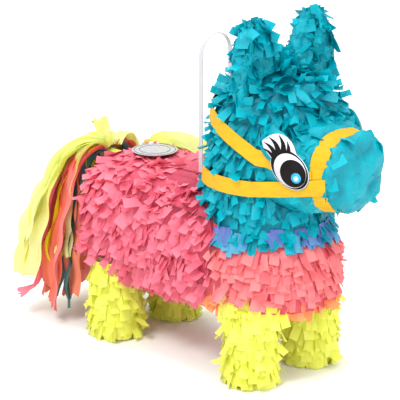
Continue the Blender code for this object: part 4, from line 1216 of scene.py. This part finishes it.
# %% [markdown]
# ## Tail
# The tail is a bunch of tissue strips tied at the root. They arch over the rump, spread like a
# fountain and hang nearly to the floor. A cloth simulation could drop them, but it is slow and tangles
# thin strips. Each strip is a ribbon of its real width instead, led along an arch of its own and
# pleated lengthwise where it is bunched at the tie. The tail's strips of one colour are one piece.

# %% A ribbon
tie_low, tie_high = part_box("tail_tie")
ROOT_TOP = Vector((tie_low.x + 0.008, 0, tie_high.z + 0.0015))
RIBBON_ROWS = 34
RIBBON_SIDES = 6


def ribbon(bm, path, width, rng, pleat=0.0028, ragged=0.0060, bunched=0.4):
    """A strip of tissue led along a path of (place, side, normal), pleated lengthwise. bunched is its
    width's share at the start, and ragged how uneven its end is torn."""
    first = len(bm.verts)
    bmesh.ops.create_grid(bm, x_segments=RIBBON_SIDES, y_segments=RIBBON_ROWS, size=0.5)
    bm.verts.ensure_lookup_table()
    shade, along = bm.verts.layers.float["shade"], bm.verts.layers.float["along"]
    tone, phase, folds = rng.random(), rng.uniform(0, 6.28), rng.uniform(1.2, 2.6)
    tips = [rng.uniform(-1, 1) for _ in range(RIBBON_SIDES + 1)]
    for v in bm.verts[first:]:
        u, share = v.co.x, 0.5 - v.co.y
        place, side, normal = path[min(round(share * RIBBON_ROWS), RIBBON_ROWS)]
        spread = width * (bunched + (1 - bunched) * min(share * 3.0, 1))
        depth = pleat * math.cos(phase + folds * 2 * math.pi * u + 2.5 * math.sin(3 * share + phase))
        depth += 0.3 * pleat * math.sin(23 * share + 9 * u + phase)
        v.co = place + side * (u * spread) + normal * depth
        if share > 0.99:
            tip = tips[round((u + 0.5) * RIBBON_SIDES)]
            v.co += (place - path[-2][0]).normalized() * tip * ragged
        v[shade] = min(max(tone + 0.3 * math.sin(phase + 7 * share + 3 * u), 0), 1)
        # The place along the strip, which drives the painted light at the strip's end in the material.
        v[along] = share


print("a ribbon has", RIBBON_ROWS * RIBBON_SIDES, "faces")

# %% The way a strip falls
SHOULDER = 0.34
KICK_FROM = 0.80
FLOOR_GAP = 0.003


def falling_path(turn, length, rng, start, shoulder, end, kick=0.0):
    """Leave the root at a slope, pass over a shoulder and fall, with slow bends and small kinks."""
    path, place = [], ROOT_TOP + Vector((0, 0.010 * math.sin(turn), 0.001))
    step = length / RIBBON_ROWS
    heading, drift = turn, rng.gauss(0, 0.10)
    phase, beat = rng.uniform(0, 6.28), rng.uniform(2.0, 4.5)
    for i in range(RIBBON_ROWS + 1):
        share = i / RIBBON_ROWS
        early, late = min(share / SHOULDER, 1), max(share - SHOULDER, 0) / (1 - SHOULDER)
        slope = start + (shoulder - start) * (1 - (1 - early) ** 1.8) + (end - shoulder) * late
        slope += 0.22 * math.sin(phase + beat * 2 * math.pi * share) * min(share * 2, 1)
        if kick and share > KICK_FROM:
            kicked = (share - KICK_FROM) / (1 - KICK_FROM)
            slope = slope * (1 - kicked) + kick * kicked
        sweep = heading + drift * share * 2 + 0.10 * math.sin(phase + 5 * share)
        ahead = Vector((-math.cos(sweep), math.sin(sweep), 0))
        way = ahead * math.cos(slope) + DOWN * math.sin(slope)
        side = Matrix.Rotation(0.35 * math.sin(phase + 4 * share), 3, way) @ ahead.cross(-DOWN)
        path.append((place.copy(), side, way.cross(side)))
        place = place + way * step
        place.z = max(place.z, FLOOR_GAP)
    return path


print("a strip turns down by", SHOULDER, "of its length")

# %% Streamers, from the outside of the bunch to the inside
LOWEST = 0.0012


def streamers(name, material, replaces, strips, seed):
    """Strips of one colour as one piece. Each is its turn from straight back in degrees, length,
    width, its slope at the start, at the shoulder and at the end, and how its tip kicks out."""
    rng = random.Random(seed)
    bm = new_paper()
    for turn, length, width, start, shoulder, end, kick in strips:
        path = falling_path(math.radians(turn), length, rng, start, shoulder, end, kick)
        ribbon(bm, path, width, rng)
    for v in bm.verts:
        v.co.z = max(v.co.z, LOWEST)
    flat = sum(f.calc_area() for f in bm.faces)
    obj = finish_paper(name, bm, material, "tail", replaces)
    print(name, "paper area", round(flat, 4))


streamers("tail_paper_outer", LIME, ["tail_streamers_outer"],
          [(-74, 0.190, 0.030, -0.9, 1.30, 1.50, 0), (-62, 0.235, 0.038, -0.8, 1.12, 1.40, 0),
           (-52, 0.188, 0.044, -0.9, 0.94, 1.15, 0), (-42, 0.255, 0.044, -0.8, 1.05, 1.46, 0),
           (-30, 0.212, 0.042, -0.9, 0.96, 1.22, 0), (-18, 0.262, 0.042, -0.7, 1.12, 1.44, 0),
           (-4, 0.228, 0.038, -0.8, 1.12, 1.42, 0), (10, 0.268, 0.042, -0.6, 1.22, 1.48, 0),
           (24, 0.232, 0.038, -0.7, 1.12, 1.42, 0), (38, 0.270, 0.042, -0.6, 1.20, 1.48, 0),
           (52, 0.228, 0.038, -0.8, 1.12, 1.42, 0), (66, 0.255, 0.032, -0.7, 1.22, 1.50, 0),
           (-112, 0.046, 0.022, -1.30, -1.2, -1.0, 0), (-24, 0.185, 0.034, -1.0, 1.00, 1.30, 0)], 101)
streamers("tail_paper_middle", CORAL, ["tail_streamers_middle"],
          [(-84, 0.228, 0.028, -0.2, 1.45, 1.54, 0), (-70, 0.245, 0.024, -0.3, 1.34, 1.52, 0),
           (-54, 0.232, 0.030, -0.3, 1.25, 1.50, 0), (-34, 0.248, 0.024, -0.3, 1.28, 1.50, 0),
           (-12, 0.236, 0.028, -0.3, 1.28, 1.50, 0), (14, 0.244, 0.026, -0.3, 1.28, 1.50, 0),
           (40, 0.236, 0.028, -0.3, 1.28, 1.50, 0), (62, 0.244, 0.026, -0.3, 1.32, 1.52, 0)], 102)
streamers("tail_paper_salmon", SALMON, [],
          [(-72, 0.255, 0.038, -0.3, 1.36, 1.54, 0), (20, 0.255, 0.030, -0.3, 1.32, 1.52, 0)], 105)
streamers("tail_paper_pink", PINK, [],
          [(-50, 0.268, 0.034, -0.3, 1.26, 1.50, 0.15), (-34, 0.240, 0.026, -0.3, 1.28, 1.50, 0)], 108)
streamers("tail_paper_yellow", SUNNY, [],
          [(-66, 0.165, 0.014, -0.6, 1.30, 1.48, 0), (-48, 0.205, 0.016, -0.6, 1.20, 1.46, 0),
           (-80, 0.150, 0.013, -0.5, 1.38, 1.52, 0), (-28, 0.195, 0.015, -0.6, 1.25, 1.48, 0),
           (12, 0.195, 0.016, -0.6, 1.25, 1.48, 0), (46, 0.185, 0.015, -0.6, 1.28, 1.50, 0)], 106)
streamers("tail_paper_inner", TEAL, ["tail_streamers_inner"],
          [(-76, 0.238, 0.028, 0.0, 1.42, 1.54, 0), (-44, 0.236, 0.026, 0.0, 1.38, 1.52, 0),
           (-10, 0.230, 0.026, 0.0, 1.38, 1.52, 0), (30, 0.230, 0.026, 0.0, 1.38, 1.52, 0),
           (60, 0.230, 0.026, 0.0, 1.42, 1.54, 0)], 103)

# %% [markdown]
# ## Strips along the back
# Three more strips of the tail's lime paper lie along the left shoulder of the back. They could hang
# like the tail, but they are glued down at their ends. The same ribbon is led over the trunk's skin,
# bulging a little between its ends, clear of the hatch and of the hanging loop.

# %% Strips along the back
ABOVE_BACK = 0.4
rng = random.Random(107)
laid = new_paper()
for start, end, width, bulge in (((-0.128, 0.034), (-0.012, 0.045), 0.022, 0.011),
                                 ((-0.104, 0.041), (0.020, 0.050), 0.018, 0.008),
                                 ((-0.080, 0.047), (0.036, 0.056), 0.024, 0.005)):
    path, places = [], []
    for i in range(RIBBON_ROWS + 1):
        share = i / RIBBON_ROWS
        x, y = (a + (b - a) * share for a, b in zip(start, end))
        y += 0.003 * math.sin(9 * share + 60 * start[1])
        ground = skin_trees["trunk_fringe"].ray_cast(Vector((x, y, ABOVE_BACK)), DOWN, ABOVE_BACK)[0]
        places.append(ground + Vector((0, 0, 0.001 + bulge * math.sin(math.pi * share) ** 0.7)))
    for i, place in enumerate(places):
        way = (places[min(i + 1, RIBBON_ROWS)] - places[max(i - 1, 0)]).normalized()
        tilt = 0.2 + 0.75 * math.sin(math.pi * i / RIBBON_ROWS)
        side = Matrix.Rotation(tilt, 3, way) @ Vector((0, 0, 1)).cross(way).normalized()
        path.append((place, side, way.cross(side)))
    ribbon(laid, path, width, rng, pleat=0.0030, ragged=0.012, bunched=0.7)
flat = sum(f.calc_area() for f in laid.faces)
back_strips = finish_paper("back_strips", laid, LIME, "root")
